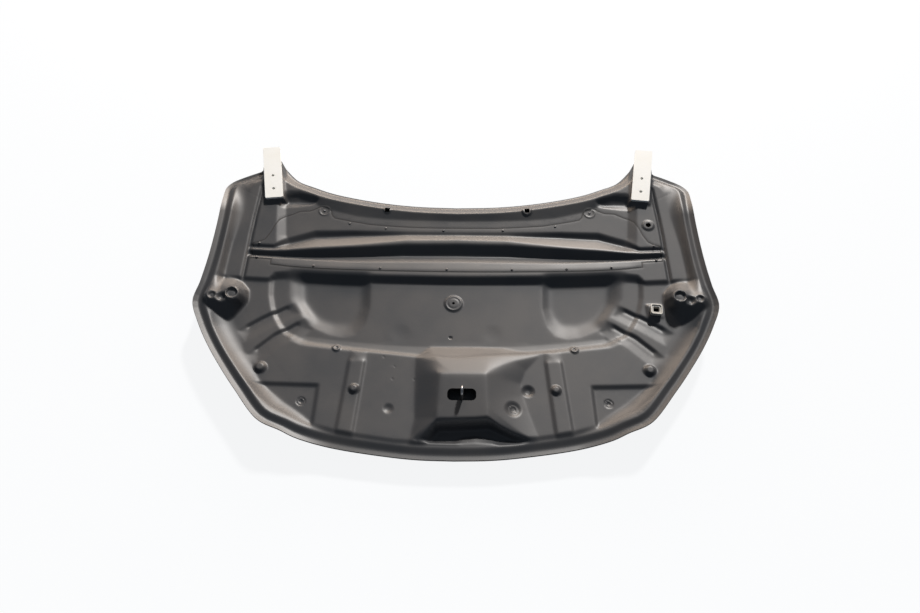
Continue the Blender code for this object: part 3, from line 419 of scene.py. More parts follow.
# Floor and studio light
FLOOR_SIDE = 12.0
FLOOR_CLEAR = 0.5 * MM
FLOOR_COLOUR = (0.90, 0.92, 0.95)
FLOOR_SEEN_COLOUR = (0.985, 0.993, 1.0)
FLOOR_SEEN_SHARE = 0.9
FLOOR_ROUGHNESS = 0.8
FLOOR_SPECULAR = 0.1
SKY_COLOUR = (0.72, 0.84, 1.0)
SKY_STRENGTH = 0.16
KEY_COLOUR = (1.0, 0.97, 0.94)
KEY_STRENGTH = 3.75
KEY_ANGLE = math.radians(5)
KEY_AZIMUTH = math.radians(17)
KEY_ELEVATION = math.radians(35)
KEY_DISTANCE = 3.0
GLOW_COLOUR = (1.0, 0.80, 0.63)
GLOW_POWER = 84.0
GLOW_SIZE = (3.2, 1.0)
GLOW_AZIMUTH = math.radians(1)
GLOW_ELEVATION = math.radians(14)
GLOW_DISTANCE = 2.6

# Camera, from in front of the nose and above it
CAMERA_LENS = 23.478
CAMERA_SENSOR = 36
CAMERA_DISTANCE = 1.66
CAMERA_ELEVATION = math.radians(60)
CAMERA_ROLL = math.radians(0.5)
CAMERA_TARGET = (0.0113, 0, 0.04)


def smooth_curve(points, step):
    """Points along a Catmull-Rom curve through the given points, about one step apart."""
    points = np.asarray(points, dtype=float)
    before = 2 * points[0] - points[1]
    after = 2 * points[-1] - points[-2]
    knots = np.vstack((before, points, after))
    found = []
    for a, b, c, d in zip(knots, knots[1:], knots[2:], knots[3:]):
        pieces = max(1, math.ceil(np.linalg.norm(c - b) / step))
        for k in range(pieces):
            t = k / pieces
            found.append(0.5 * (2 * b + (c - a) * t + (2 * a - 5 * b + 4 * c - d) * t ** 2
                                + (3 * b - a - 3 * c + d) * t ** 3))
    found.append(points[-1])
    return np.array(found)


def straight_run(points, step):
    """Points along straight runs between the given points, about one step apart."""
    found = []
    for a, b in zip(points, points[1:]):
        pieces = max(1, math.ceil(np.linalg.norm(b - a) / step))
        found += [a + (b - a) * k / pieces for k in range(pieces)]
    found.append(points[-1])
    return np.array(found)


def closed_run(points, step):
    """The closed outline with points about one step apart."""
    return straight_run(np.vstack((points, points[:1])), step)[:-1]


def inset(outline, distances):
    """The closed outline moved inwards, edge by edge, with mitred corners."""
    outline = np.asarray(outline)
    after = np.roll(outline, -1, axis=0)
    edge = after - outline
    normal = np.column_stack((-edge[:, 1], edge[:, 0]))
    normal /= np.linalg.norm(normal, axis=1)[:, None]
    area = np.sum(outline[:, 0] * after[:, 1] - after[:, 0] * outline[:, 1])
    normal *= np.sign(area)
    distances = np.broadcast_to(distances, len(outline))
    moved = []
    for k, point in enumerate(outline):
        first, second = normal[k - 1], normal[k]
        turn = first[0] * second[1] - first[1] * second[0]
        if abs(turn) < STRAIGHT_TURN:
            moved.append(point + (first * distances[k - 1] + second * distances[k]) / 2)
            continue
        shift = np.linalg.solve(np.array((first, second)), (distances[k - 1], distances[k]))
        moved.append(point + shift)
    return np.array(moved)


def ribbon(line, left, right):
    """A closed outline round a line, by its distances to the left and right of travel."""
    line = np.asarray(line)
    along = np.gradient(line, axis=0)
    along /= np.linalg.norm(along, axis=1)[:, None]
    across = np.column_stack((-along[:, 1], along[:, 0]))
    return np.vstack((line + across * left, (line - across * right)[::-1]))


def shortened(line, amount):
    """The line with both ends pulled in."""
    line = np.array(line, dtype=float)
    for end, neighbour in ((0, 1), (-1, -2)):
        run = line[neighbour] - line[end]
        line[end] += run / np.linalg.norm(run) * amount
    return line


def circle(centre, radius, sides=ROUND_SIDES):
    angles = 2 * math.pi * np.arange(sides) / sides
    return np.asarray(centre) + radius * np.column_stack((np.cos(angles), np.sin(angles)))


def box_outline(x_range, y_range, margin=0.0):
    left, right = x_range[0] - margin, x_range[1] + margin
    front, rear = y_range[0] - margin, y_range[1] + margin
    return np.array(((left, front), (right, front), (right, rear), (left, rear)))


def square(centre, side):
    half = side / 2
    return box_outline((centre[0] - half, centre[0] + half), (centre[1] - half, centre[1] + half))


def line_distance(points, line):
    """Distance of each point to a polyline."""
    nearest = np.full(len(points), np.inf)
    for a, b in zip(line, line[1:]):
        run = b - a
        share = np.clip(((points - a) @ run) / (run @ run), 0, 1)
        nearest = np.minimum(nearest, np.linalg.norm(points - a - share[:, None] * run, axis=1))
    return nearest


def loop_distance(points, outline):
    return line_distance(points, np.vstack((outline, outline[:1])))


def inside(points, outline):
    x, y = points[:, 0], points[:, 1]
    found = np.zeros(len(points), dtype=bool)
    for (ax, ay), (bx, by) in zip(outline, np.roll(outline, -1, axis=0)):
        if ay == by:
            continue
        crosses = (ay > y) != (by > y)
        found ^= crosses & (x < (bx - ax) * (y - ay) / (by - ay) + ax)
    return found


def within(points, foot, crest):
    """0 outside the foot outline, 1 inside the crest outline and an even slope between them."""
    share = np.zeros(len(points))
    near = np.all((points >= foot.min(axis=0)) & (points <= foot.max(axis=0)), axis=1)
    near[near] = inside(points[near], foot)
    within_crest = inside(points[near], crest)
    share[near] = 1.0
    slope = near.copy()
    slope[near] = ~within_crest
    to_foot = loop_distance(points[slope], foot)
    to_crest = loop_distance(points[slope], crest)
    share[slope] = to_foot / np.maximum(to_foot + to_crest, MERGE)
    return share


def smooth_step(value, start, end):
    t = np.clip((value - start) / (end - start), 0, 1)
    return t * t * (3 - 2 * t)


def mix(a, b, share):
    return a + (b - a) * share


def bonnet_outline(step):
    """The outline, clockwise from the middle of the rear edge, and its point count to the rear corner."""
    rear = smooth_curve(REAR_EDGE, step)
    return both_halves(np.vstack((rear, smooth_curve(SIDE_EDGE, step)))), len(rear)


def edge_strip(side_distance, rear_distance, step):
    """The outline moved inwards by one distance at the rear edge and by another elsewhere."""
    outline, rear_points = bonnet_outline(step)
    half = np.full(len(outline) // 2, side_distance)
    half[:rear_points - 1] = rear_distance
    return inset(outline, np.concatenate((half, half[::-1])))


OUTLINE = bonnet_outline(OUTLINE_STEP)[0]
INNER_OUTLINE = edge_strip(SKIN_LIP, SKIN_LIP, OUTLINE_STEP)
SIDE_CURVE = smooth_curve(SIDE_EDGE, EDGE_STEP)
TURNED_EDGE = np.vstack((SIDE_CURVE, mirrored(SIDE_CURVE)[-2::-1]))
OUTLINE_ROUGH = bonnet_outline(EDGE_STEP)[0]
HEM_OUTLINE = edge_strip(HEM_SIDE, HEM_REAR, EDGE_STEP)
RIM_OUTLINE = edge_strip(RIM_SIDE, RIM_REAR, EDGE_STEP)
SEAT_LOOP = inset(SEAM_LOOP, SEAM_WIDTH / 2)
BRACE_LOOP = inset(SEAM_LOOP, SEAM_WIDTH)

RAIL_CHANNEL_LOOP = ribbon(RAIL_LINE, RAIL_CHANNEL_WIDTH / 2, RAIL_CHANNEL_WIDTH / 2)
RAIL_FLOOR_LOOP = ribbon(shortened(RAIL_LINE, RAIL_CHANNEL_FLOOR),
                         RAIL_CHANNEL_FLOOR / 2, RAIL_CHANNEL_FLOOR / 2)
SIDE_CHANNEL_LOOPS = [ribbon(line, 0, SIDE_CHANNEL_WIDTH) for line in SIDE_CHANNELS]
SIDE_CHANNEL_FLOORS = [
    ribbon(shortened(line, SIDE_CHANNEL_END), -SIDE_CHANNEL_REAR_WALL,
           SIDE_CHANNEL_WIDTH - SIDE_CHANNEL_FRONT_WALL)
    for line in SIDE_CHANNELS]
PAD_LOOP = box_outline(PAD_X, PAD_Y)
PAD_FLOOR_LOOP = box_outline(PAD_X, PAD_Y, -PAD_WALL)
SOCKET_SEAT_LOOP = square(SOCKET_PLACE, SOCKET_SIDE + 2 * SOCKET_SEAT_MARGIN)
SOCKET_FOOT_LOOP = square(SOCKET_PLACE, SOCKET_SIDE + 2 * (SOCKET_SEAT_MARGIN + SOCKET_SEAT_WALL))


def plate_outline(margin):
    """Plan of a hinge plate's seat, which runs back past the bonnet's edge."""
    half = PLATE_WIDTH / 2 + margin
    corners = np.array(((-half, -margin), (half, -margin), (half, PLATE_LENGTH), (-half, PLATE_LENGTH)))
    turn = np.array(((math.cos(PLATE_LEAN), -math.sin(PLATE_LEAN)),
                     (math.sin(PLATE_LEAN), math.cos(PLATE_LEAN))))
    return corners @ turn + PLATE_FRONT


PLATE_SEAT_LOOP = plate_outline(PLATE_SEAT_MARGIN)
PLATE_FOOT_LOOP = plate_outline(PLATE_SEAT_MARGIN + PLATE_SEAT_WALL)


def crown(points):
    x, y = points[:, 0], points[:, 1]
    return CROWN_ACROSS * x ** 2 + CROWN_ACROSS_4 * x ** 4 + CROWN_ALONG * y ** 2


def corner_share(points):
    return smooth_step(np.abs(points[:, 0]), CORNER_START, CORNER_END)


def skin_height(points):
    """Lower face of the outer skin, which goes on rising past its edge."""
    distance = line_distance(points, TURNED_EDGE)
    past_edge = ~inside(points, OUTLINE_ROUGH) & (distance < GRID_MARGIN)
    distance = np.where(past_edge, -distance, distance)
    curl = np.maximum(1 - distance / CURL_WIDTH, 0) ** CURL_POWER
    fade = mix(1, CURL_REAR_SHARE, smooth_step(points[:, 1], CURL_FADE_START, CURL_FADE_END))
    return crown(points) + curl * fade * mix(CURL_NOSE, CURL_SIDE, corner_share(points))


def plate_seat_height(points):
    """Plane that touches the deck's crown under the middle of a hinge plate."""
    x, y = np.add(PLATE_FRONT, PLATE_SEAT_TOUCH)
    slope_x = 2 * CROWN_ACROSS * x + 4 * CROWN_ACROSS_4 * x ** 3
    slope_y = 2 * CROWN_ALONG * y
    middle = crown(np.array(((x, y),)))[0] + DECK_LEVEL + PLATE_SEAT_RISE
    return middle + slope_x * (np.abs(points[:, 0]) - x) + slope_y * (points[:, 1] - y)


def brace_corrugation(points):
    """Change of height across the cross brace's ridge and valleys."""
    x, y = np.abs(points[:, 0]), points[:, 1]
    stations = np.array(BRACE_STATIONS) * MM
    lines = np.array([np.interp(x, stations, np.array(place) * MM) for place, _ in BRACE_CREASES])
    drops = np.array([np.interp(x, stations, np.array(drop) * MM) for _, drop in BRACE_CREASES])
    change = np.zeros(len(points))
    for k in range(len(BRACE_CREASES) - 1):
        share = (lines[k] - y) / (lines[k] - lines[k + 1])
        here = (share >= 0) & (share <= 1)
        change = np.where(here, -mix(drops[k], drops[k + 1], share), change)
    return np.where(x <= stations[-1], change, 0.0)


def round_rise(points, place, foot, top, rise):
    """A dome, or a dimple where rise is negative, with a flat top and a smooth flank."""
    distance = np.linalg.norm(points - metres(place), axis=1) / MM
    return (1 - smooth_step(distance, top, foot)) * rise * MM


def ring_rise(points, place, radius, width, rise):
    distance = np.linalg.norm(points - metres(place), axis=1) / MM
    return np.exp(-((distance - radius) / width) ** 2) * rise * MM


def on_right_half(points):
    """The points, with those of the left half at their mirror images."""
    return np.column_stack((np.abs(points[:, 0]), points[:, 1]))


def small_features(points):
    """Domes, dimples, rings and cups that keep their own edges."""
    side = on_right_half(points)
    rise = np.zeros(len(points))
    for plan, rounds in ((side, PAIRED_ROUNDS), (points, SINGLE_ROUNDS)):
        for feature in rounds:
            rise += round_rise(plan, *feature)
    for plan, rings in ((side, PAIRED_RINGS), (points, SINGLE_RINGS)):
        for feature in rings:
            rise += ring_rise(plan, *feature)
    return rise


def floor_height(points):
    """Upper face of the inner panel inside its rim, before the seam."""
    side = on_right_half(points)
    level = mix(WELL_LEVEL, BOWL_LEVEL, within(side, BOWL_LOOP, BOWL_BOTTOM_LOOP))
    shelf = mix(SHELF_LEVEL, TERRACE_LEVEL, within(points, TERRACE_LOOP, TERRACE_FLOOR_LOOP))
    level = mix(shelf, level, within(points, SHELF_LOOP, WELL_LOOP))
    for outer, floor in zip(SIDE_CHANNEL_LOOPS, SIDE_CHANNEL_FLOORS):
        level = level - SIDE_CHANNEL_DEPTH * within(side, outer, floor)
    level = level + BAND_RISE * within(side, BAND_LOOP, BAND_TOP_LOOP)
    level = level - PAD_DEPTH * within(side, PAD_LOOP, PAD_FLOOR_LOOP)
    deck = mix(DECK_LEVEL, BASIN_LEVEL, within(points, BASIN_LOOP, BASIN_FLOOR_LOOP))
    deck = deck - RAIL_CHANNEL_DEPTH * within(side, RAIL_CHANNEL_LOOP, RAIL_FLOOR_LOOP)
    deck = deck - SCOOP_DEPTH * within(side, SCOOP_LOOP, SCOOP_FLOOR_LOOP)
    level = mix(level, deck, within(points, DECK_FOOT_LOOP, DECK_LOOP))
    level = level - NOSE_POCKET_DEPTH * within(points, NOSE_POCKET_LOOP, NOSE_POCKET_FLOOR_LOOP)
    height = crown(points) + level + brace_corrugation(points)
    box = within(points, LATCH_FOOT_LOOP, LATCH_LOOP)
    box = box * within(points, LATCH_WALL_FOOT_LOOP, LATCH_WALL_LOOP)
    return mix(height, LATCH_TOP, box)


def rim_height(points, skin):
    """Upper face of the inner panel along its raised rim."""
    turned = skin + mix(RIM_NOSE_LEVEL, RIM_SIDE_LEVEL, corner_share(points))
    rear = smooth_step(points[:, 1], *RIM_BLEND_Y)
    rear = rear * (1 - smooth_step(np.abs(points[:, 0]), *RIM_BLEND_X))
    return mix(turned, crown(points) + DECK_LEVEL, rear)


def relief(points, skin):
    """Upper face of the inner panel and of the cross brace set flush in it."""
    side = on_right_half(points)
    height = mix(rim_height(points, skin), floor_height(points), within(points, RIM_LOOP, FLOOR_LOOP))
    tower = crown(points) + TOWER_LEVEL
    height = mix(height, tower, within(side, TOWER_FOOT_LOOP, TOWER_TOP_LOOP))
    seat = crown(np.array((SOCKET_PLACE,)))[0] + SHELF_LEVEL + SOCKET_SEAT_RISE
    height = mix(height, seat, within(points, SOCKET_FOOT_LOOP, SOCKET_SEAT_LOOP))
    height = mix(skin + HEM_LEVEL, height, within(points, HEM_OUTLINE, RIM_OUTLINE))
    return mix(height, plate_seat_height(points), within(side, PLATE_FOOT_LOOP, PLATE_SEAT_LOOP))


def seam_groove(points):
    """Depth of the rounded edges on both sides of the cross brace's seam."""
    low, high = SEAM_LOOP.min(axis=0) - GRID_MARGIN, SEAM_LOOP.max(axis=0) + GRID_MARGIN
    near = np.all((points > low) & (points < high), axis=1)
    depth = np.zeros(len(points))
    away = loop_distance(points[near], SEAT_LOOP)
    depth[near] = SEAM_GROOVE_DEPTH * np.exp(-(away / SEAM_GROOVE_WIDTH) ** 2)
    return depth


def rounded_box(x_range, y_range, radius, sides=4):
    """A box outline with round corners."""
    left, right = x_range[0] + radius, x_range[1] - radius
    front, rear = y_range[0] + radius, y_range[1] - radius
    points = []
    for quarter, (x, y) in enumerate(((right, rear), (left, rear), (left, front), (right, front))):
        for k in range(sides + 1):
            angle = math.pi / 2 * (quarter + k / sides)
            points.append((x + radius * math.cos(angle), y + radius * math.sin(angle)))
    return np.array(points)


HOLES = [rounded_box(LATCH_HOLE_X, LATCH_HOLE_Y, LATCH_HOLE_ROUND)]
HOLES += [square(metres(place), NOZZLE_HOLE) for place in NOZZLE_PLACES]
HOLES += [circle(metres(RAIL_HOLE_PLACE), RAIL_HOLE_RADIUS)]
HOLES += [circle(metres(DISC_HOLE_PLACE), DISC_HOLE_RADIUS)]
HOLES += [square(SOCKET_PLACE, SOCKET_HOLE)]


class Relief:
    """Height of the moulded sheets on a grid, with rounded edges, read between its points."""

    def __init__(self):
        low = OUTLINE.min(axis=0) - GRID_MARGIN
        high = np.array((-low[0], PLATE_FRONT[1] + PLATE_LENGTH + GRID_MARGIN))
        self.low = low
        self.xs = np.arange(low[0], high[0], GRID_STEP)
        self.ys = np.arange(low[1], high[1], GRID_STEP)
        x, y = np.meshgrid(self.xs, self.ys, indexing="ij")
        points = np.column_stack((x.ravel(), y.ravel()))
        skin = skin_height(points)
        self.skin = skin.reshape(x.shape)
        level = (relief(points, skin) - skin).reshape(x.shape)
        soft = softness(points).reshape(x.shape)
        crisp = blurred(level, EDGE_ROUND)
        level = mix(crisp, blurred(level, SOFT_ROUND), blurred(soft, SOFT_ROUND))
        level += (small_features(points) - seam_groove(points)).reshape(x.shape)
        self.panel = self.skin + level
        slope_x, slope_y = np.gradient(level, GRID_STEP)
        bend_xx, bend_xy = np.gradient(slope_x, GRID_STEP)
        bend_yy = np.gradient(slope_y, GRID_STEP, axis=1)
        bend = np.maximum(np.maximum(np.abs(bend_xx), np.abs(bend_yy)), np.abs(bend_xy))
        self.bend = blurred(bend, EDGE_ROUND)

    def read(self, values, points):
        place = (points - self.low) / GRID_STEP
        corner = np.clip(np.floor(place).astype(int), 1, np.array(values.shape) - 3)
        share = place - corner
        found = np.zeros(len(points))
        weights = [cubic_weights(share[:, k]) for k in (0, 1)]
        for i in range(4):
            for j in range(4):
                value = values[corner[:, 0] + i - 1, corner[:, 1] + j - 1]
                found += weights[0][i] * weights[1][j] * value
        return found

    def normals(self, values, points):
        slope_x, slope_y = (self.read(slope, points) for slope in np.gradient(values, GRID_STEP))
        normals = np.column_stack((-slope_x, -slope_y, np.ones(len(points))))
        return normals / np.linalg.norm(normals, axis=1)[:, None]


def cubic_weights(t):
    return (0.5 * (-t + 2 * t ** 2 - t ** 3), 0.5 * (2 - 5 * t ** 2 + 3 * t ** 3),
            0.5 * (t + 4 * t ** 2 - 3 * t ** 3), 0.5 * (-t ** 2 + t ** 3))


def blurred(values, sigma):
    """Gaussian blur of a grid, by its spread in metres."""
    for axis in (0, 1):
        place = np.arange(values.shape[axis]) * GRID_STEP
        kernel = np.exp(-((place[:, None] - place[None, :]) / sigma) ** 2 / 2)
        kernel /= kernel.sum(axis=1)[:, None]
        values = kernel @ values if axis == 0 else values @ kernel.T
    return values


def softness(points):
    """1 where the forms are full and round, 0 where they are crisp."""
    side = on_right_half(points)
    latch = inside(points, LATCH_FOOT_LOOP) & (points[:, 1] > LATCH_SOFT_END)
    return (BOWL_SOFTNESS * inside(side, BOWL_LOOP) + LATCH_SOFTNESS * latch
            + TOWER_SOFTNESS * inside(side, TOWER_FOOT_LOOP))


def lattice_points(outline, step, keep_out, wanted=None):
    """Points in rows across an outline, clear of the given loops. wanted picks them by row and column."""
    low, high = np.floor(outline.min(axis=0) / step), np.ceil(outline.max(axis=0) / step)
    columns, rows = (np.arange(low[k], high[k] + 1) for k in (0, 1))
    across, along = np.meshgrid(columns, rows, indexing="ij")
    taken = np.zeros(across.shape, dtype=bool)
    for loop in keep_out:
        beads = closed_run(loop, step / BEADS_PER_STEP) / step
        column, row = np.rint(beads - low).astype(int).T
        near = (column >= 0) & (row >= 0) & (column < taken.shape[0]) & (row < taken.shape[1])
        taken[column[near], row[near]] = True
    across, along = across[~taken], along[~taken]
    points = np.column_stack((across, along)) * step
    kept = inside(points, outline)
    if wanted is not None:
        kept[kept] = wanted(across[kept], along[kept], points[kept])
    return points[kept]


def triangulate(loops, lattice, outline, holes=()):
    """Triangles between loops and lattice points, inside the outline and outside the holes."""
    points, edges = [], []
    for loop in loops:
        start = len(points)
        points += [Vector(point) for point in loop]
        edges += [(start + k, start + (k + 1) % len(loop)) for k in range(len(loop))]
    points += [Vector(point) for point in lattice]
    found, _, faces, _, _, _ = delaunay_2d_cdt(points, edges, [], 0, MERGE)
    points, faces = np.array([tuple(point) for point in found]), np.array(faces)
    middles = points[faces].mean(axis=1)
    kept = inside(middles, outline)
    for hole in holes:
        kept &= ~inside(middles, hole)
    return points, faces[kept]


def linked(name, data):
    """A new object in the scene."""
    made = bpy.data.objects.new(name, data)
    bpy.context.scene.collection.objects.link(made)
    return made


def sheet_mesh(name, points, faces, relief_map, surface, shift, wall):
    """A closed sheet whose upper face is a surface of the map, moved up by shift.

    Both faces have the fine normals of the surface, and the walls at its edges are flat.
    """
    heights = relief_map.read(surface, points) + shift
    normals = relief_map.normals(surface, points)
    used, compact = np.unique(faces, return_inverse=True)
    faces = compact.reshape(faces.shape)
    points, heights, normals = points[used], heights[used], normals[used]
    a, b, c = (points[faces[:, k]] for k in range(3))
    turned = np.cross(b - a, c - a) < 0
    faces[turned] = faces[turned][:, ::-1]
    edges = np.vstack([faces[:, (k, (k + 1) % 3)] for k in range(3)])
    keys = edges[:, 0] * len(used) + edges[:, 1]
    back = edges[:, 1] * len(used) + edges[:, 0]
    rim = edges[~np.isin(keys, back)]
    count = len(used)
    upper = np.column_stack((points, heights))
    lower = upper - (0, 0, wall)
    walls = np.column_stack((rim[:, 1], rim[:, 0], rim[:, 0] + count, rim[:, 1] + count))
    mesh = bpy.data.meshes.new(name)
    every = [tuple(face) for face in np.vstack((faces, faces[:, ::-1] + count))]
    every += [tuple(face) for face in walls]
    mesh.from_pydata(np.vstack((upper, lower)).tolist(), [], every)
    smooth = np.ones(len(every), dtype=bool)
    smooth[2 * len(faces):] = False
    mesh.polygons.foreach_set("use_smooth", smooth)
    corner_normals = np.vstack((normals[faces.ravel()], -normals[faces[:, ::-1].ravel()],
                                np.zeros((4 * len(walls), 3))))
    mesh.normals_split_custom_set(corner_normals)
    return linked(name, mesh)


def place_piece(made, finish, slot, *nodes):
    made.data.materials.append(MATERIALS[finish])
    made.location = Vector(made.location) + DATUM
    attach(made, "root")
    if nodes:
        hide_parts(*nodes)


SKIN_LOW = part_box("outer_skin")[0]
BRACKET_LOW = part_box("striker_bracket")[0]
BRACKET_FLOOR = LATCH_TOP - INNER_WALL - SEAT_GAP - BRACKET_DEPTH
DATUM = Vector((0, SKIN_LOW.y - OUTLINE[:, 1].min(), BRACKET_LOW.z - BRACKET_FLOOR))


def make_sheets(relief_map):
    def enough(across, along, points):
        bend = relief_map.read(relief_map.bend, points)
        kept = np.zeros(len(points), dtype=bool)
        for share, least in COARSE_SHARES:
            kept |= (across % share == 0) & (along % share == 0) & (bend >= least)
        return kept

    seam = closed_run(SEAM_LOOP, OUTLINE_STEP)
    seat = closed_run(SEAT_LOOP, OUTLINE_STEP)
    rings = [INNER_OUTLINE, seam, seat, closed_run(OPENING_LOOP, OUTLINE_STEP)] + HOLES
    lattice = lattice_points(INNER_OUTLINE, FINE_STEP, rings, enough)
    points, faces = triangulate(rings, lattice[~inside(lattice, SEAT_LOOP)], INNER_OUTLINE,
                                [OPENING_LOOP] + HOLES)
    seat_drop = (BRACE_WALL + SEAT_GAP) * within(points, SEAM_LOOP, SEAT_LOOP)
    panel = sheet_mesh("inner_panel_moulding", points, faces, relief_map, relief_map.panel, -seat_drop,
                       INNER_WALL)
    place_piece(panel, "moulded_laminate", "dark_laminate", "inner_panel")

    edge = closed_run(BRACE_LOOP, OUTLINE_STEP)
    points, faces = triangulate([edge], lattice_points(BRACE_LOOP, FINE_STEP, [edge], enough), BRACE_LOOP)
    brace = sheet_mesh("cross_brace_moulding", points, faces, relief_map, relief_map.panel, 0, BRACE_WALL)
    place_piece(brace, "moulded_laminate", "dark_laminate", "cross_brace_panel")

    # Painted shade: a near-black strip in the seam gap, which makes the seam a dark line
    margin = (SEAM_WIDTH - SEAM_SHADE_WIDTH) / 2
    outer = closed_run(inset(SEAM_LOOP, margin), OUTLINE_STEP)
    inner = closed_run(inset(SEAM_LOOP, SEAM_WIDTH - margin), OUTLINE_STEP)
    points, faces = triangulate([outer, inner], [], outer, [inner])
    shade_fill = sheet_mesh("seam_shade_strip", points, faces, relief_map, relief_map.panel, -SEAM_SHADE_DEPTH,
                      SEAM_SHADE_WALL)
    place_piece(shade_fill, "painted_seam_shade", "dark_laminate")

    points, faces = triangulate([OUTLINE], lattice_points(OUTLINE, SKIN_STEP, [OUTLINE]), OUTLINE)
    skin = sheet_mesh("outer_skin_moulding", points, faces, relief_map, relief_map.skin, SKIN_WALL,
                      SKIN_WALL)
    place_piece(skin, "dark_gelcoat", "outer_gelcoat", "outer_skin")


def flat_solid(name, outlines, wall, edge):
    """A flat piece from closed outlines, of which the inner ones are holes, with rounded edges."""
    points, faces = triangulate(outlines, [], outlines[0], outlines[1:])
    cage = bmesh.new()
    corners = [cage.verts.new((*point, wall / 2)) for point in points]
    for face in faces:
        cage.faces.new([corners[k] for k in face])
    made = bmesh.ops.extrude_face_region(cage, geom=cage.faces[:])
    lower = [item for item in made["geom"] if isinstance(item, bmesh.types.BMVert)]
    bmesh.ops.translate(cage, verts=lower, vec=(0, 0, -wall))
    bmesh.ops.recalc_face_normals(cage, faces=cage.faces[:])
    mesh = bpy.data.meshes.new(name)
    cage.to_mesh(mesh)
    cage.free()
    mesh.polygons.foreach_set("use_smooth", np.ones(len(mesh.polygons), dtype=bool))
    solid = linked(name, mesh)
    bevel = solid.modifiers.new("rounded_edges", "BEVEL")
    bevel.width = edge
    bevel.segments = EDGE_SEGMENTS
    bevel.limit_method = "ANGLE"
    bevel.angle_limit = EDGE_LEAST_ANGLE
    bevel.harden_normals = True
    return solid


def make_hinge_plates():
    front = np.array((PLATE_FRONT,))
    base = float(plate_seat_height(front)[0])
    slope_x = float(plate_seat_height(front + (1, 0))[0]) - base
    slope_y = float(plate_seat_height(front + (0, 1))[0]) - base
    normal = Vector((-slope_x, -slope_y, 1)).normalized()
    half = PLATE_WIDTH / 2
    body = rounded_box((-half, half), (0, PLATE_LENGTH), PLATE_CORNER)
    holes = [circle((0, place), PLATE_HOLE_RADIUS) for place in PLATE_HOLES]
    for side, label in ((1, "right"), (-1, "left")):
        upright = Vector((normal.x * side, normal.y, normal.z))
        ahead = Vector((math.sin(PLATE_LEAN) * side, math.cos(PLATE_LEAN), 0))
        ahead = (ahead - upright * ahead.dot(upright)).normalized()
        across = ahead.cross(upright)
        plate = flat_solid("painted_hinge_plate_" + label, [body] + holes, PLATE_WALL, PLATE_EDGE)
        turn = Matrix((across, ahead, upright)).transposed().to_4x4()
        start = Vector((PLATE_FRONT[0] * side, PLATE_FRONT[1], base))
        turn.translation = start + upright * (SEAT_GAP + PLATE_WALL / 2)
        plate.matrix_world = turn
        place_piece(plate, "cream_plate_paint", "hinge_plate_paint", "hinge_plate_" + label)


def make_striker():
    under = LATCH_TOP - INNER_WALL - SEAT_GAP
    floor = under - BRACKET_DEPTH
    left = LATCH_HOLE_X[0] - BRACKET_CLEAR - STRIKER_X
    right = LATCH_HOLE_X[1] + BRACKET_CLEAR - STRIKER_X
    wall, flange = BRACKET_WALL, BRACKET_FLANGE
    hat = np.array(((left - flange, under), (left - flange, under - wall), (left - wall, under - wall),
                    (left - wall, floor), (right + wall, floor), (right + wall, under - wall),
                    (right + flange, under - wall), (right + flange, under), (right, under),
                    (right, floor + wall), (left, floor + wall), (left, under)))
    bracket = flat_solid("striker_bracket_pressing", [hat], BRACKET_LENGTH, BRACKET_EDGE)
    middle_y = sum(STRIKER_LEGS_Y) / 2
    upright = Matrix.Rotation(math.pi / 2, 4, "X")
    bracket.matrix_world = Matrix.Translation((STRIKER_X, middle_y, 0)) @ upright
    place_piece(bracket, "black_bracket_paint", "bracket_steel", "striker_bracket")

    bend = (STRIKER_LEGS_Y[1] - STRIKER_LEGS_Y[0]) / 2
    top = LATCH_TOP + STRIKER_REACH - STRIKER_WIRE / 2
    foot = floor + wall + SEAT_GAP
    arc = [(STRIKER_X, middle_y - bend * math.cos(a), top - bend + bend * math.sin(a))
           for a in np.linspace(0, math.pi, STRIKER_BEND_STEPS + 1)]
    route = [(STRIKER_X, STRIKER_LEGS_Y[0], foot)] + arc + [(STRIKER_X, STRIKER_LEGS_Y[1], foot)]
    curve = bpy.data.curves.new("striker_wire", "CURVE")
    curve.dimensions = "3D"
    curve.bevel_depth = STRIKER_WIRE / 2
    curve.bevel_resolution = STRIKER_SIDES
    curve.use_fill_caps = True
    spline = curve.splines.new("POLY")
    spline.points.add(len(route) - 1)
    for point, place in zip(spline.points, route):
        point.co = (*place, 1)
    spline.use_smooth = True
    wire = linked("striker_wire", curve)
    place_piece(wire, "zinc_plated_wire", "striker_steel", "striker_loop")


def make_socket(relief_map):
    """Moulded flange with a paler lip round its edge."""
    seat = float(relief_map.read(relief_map.panel, np.array((SOCKET_PLACE,)))[0]) + SEAT_GAP
    outline, opening, lip = (
        rounded_box((-side / 2, side / 2), (-side / 2, side / 2), corner, SOCKET_CORNER_SIDES)
        for side, corner in ((SOCKET_SIDE, SOCKET_CORNER), (SOCKET_HOLE, SOCKET_HOLE_CORNER),
                             (SOCKET_SIDE - 2 * SOCKET_LIP, SOCKET_CORNER - SOCKET_LIP / 2)))
    body_wall = SOCKET_HEIGHT - SOCKET_LIP
    body = flat_solid("stay_socket_grommet", [inset(outline, SEAT_GAP), opening], body_wall, SOCKET_EDGE)
    rim = flat_solid("stay_socket_lip", [outline, lip], SOCKET_LIP, SOCKET_EDGE)
    for piece, middle in ((body, body_wall / 2), (rim, SOCKET_HEIGHT - SOCKET_LIP / 2)):
        piece.location = (*SOCKET_PLACE, seat + middle)
        piece.rotation_euler.z = SOCKET_TURN
    place_piece(body, "socket_flange_plastic", "socket_plastic", "stay_socket")
    place_piece(rim, "pale_socket_plastic", "socket_plastic")


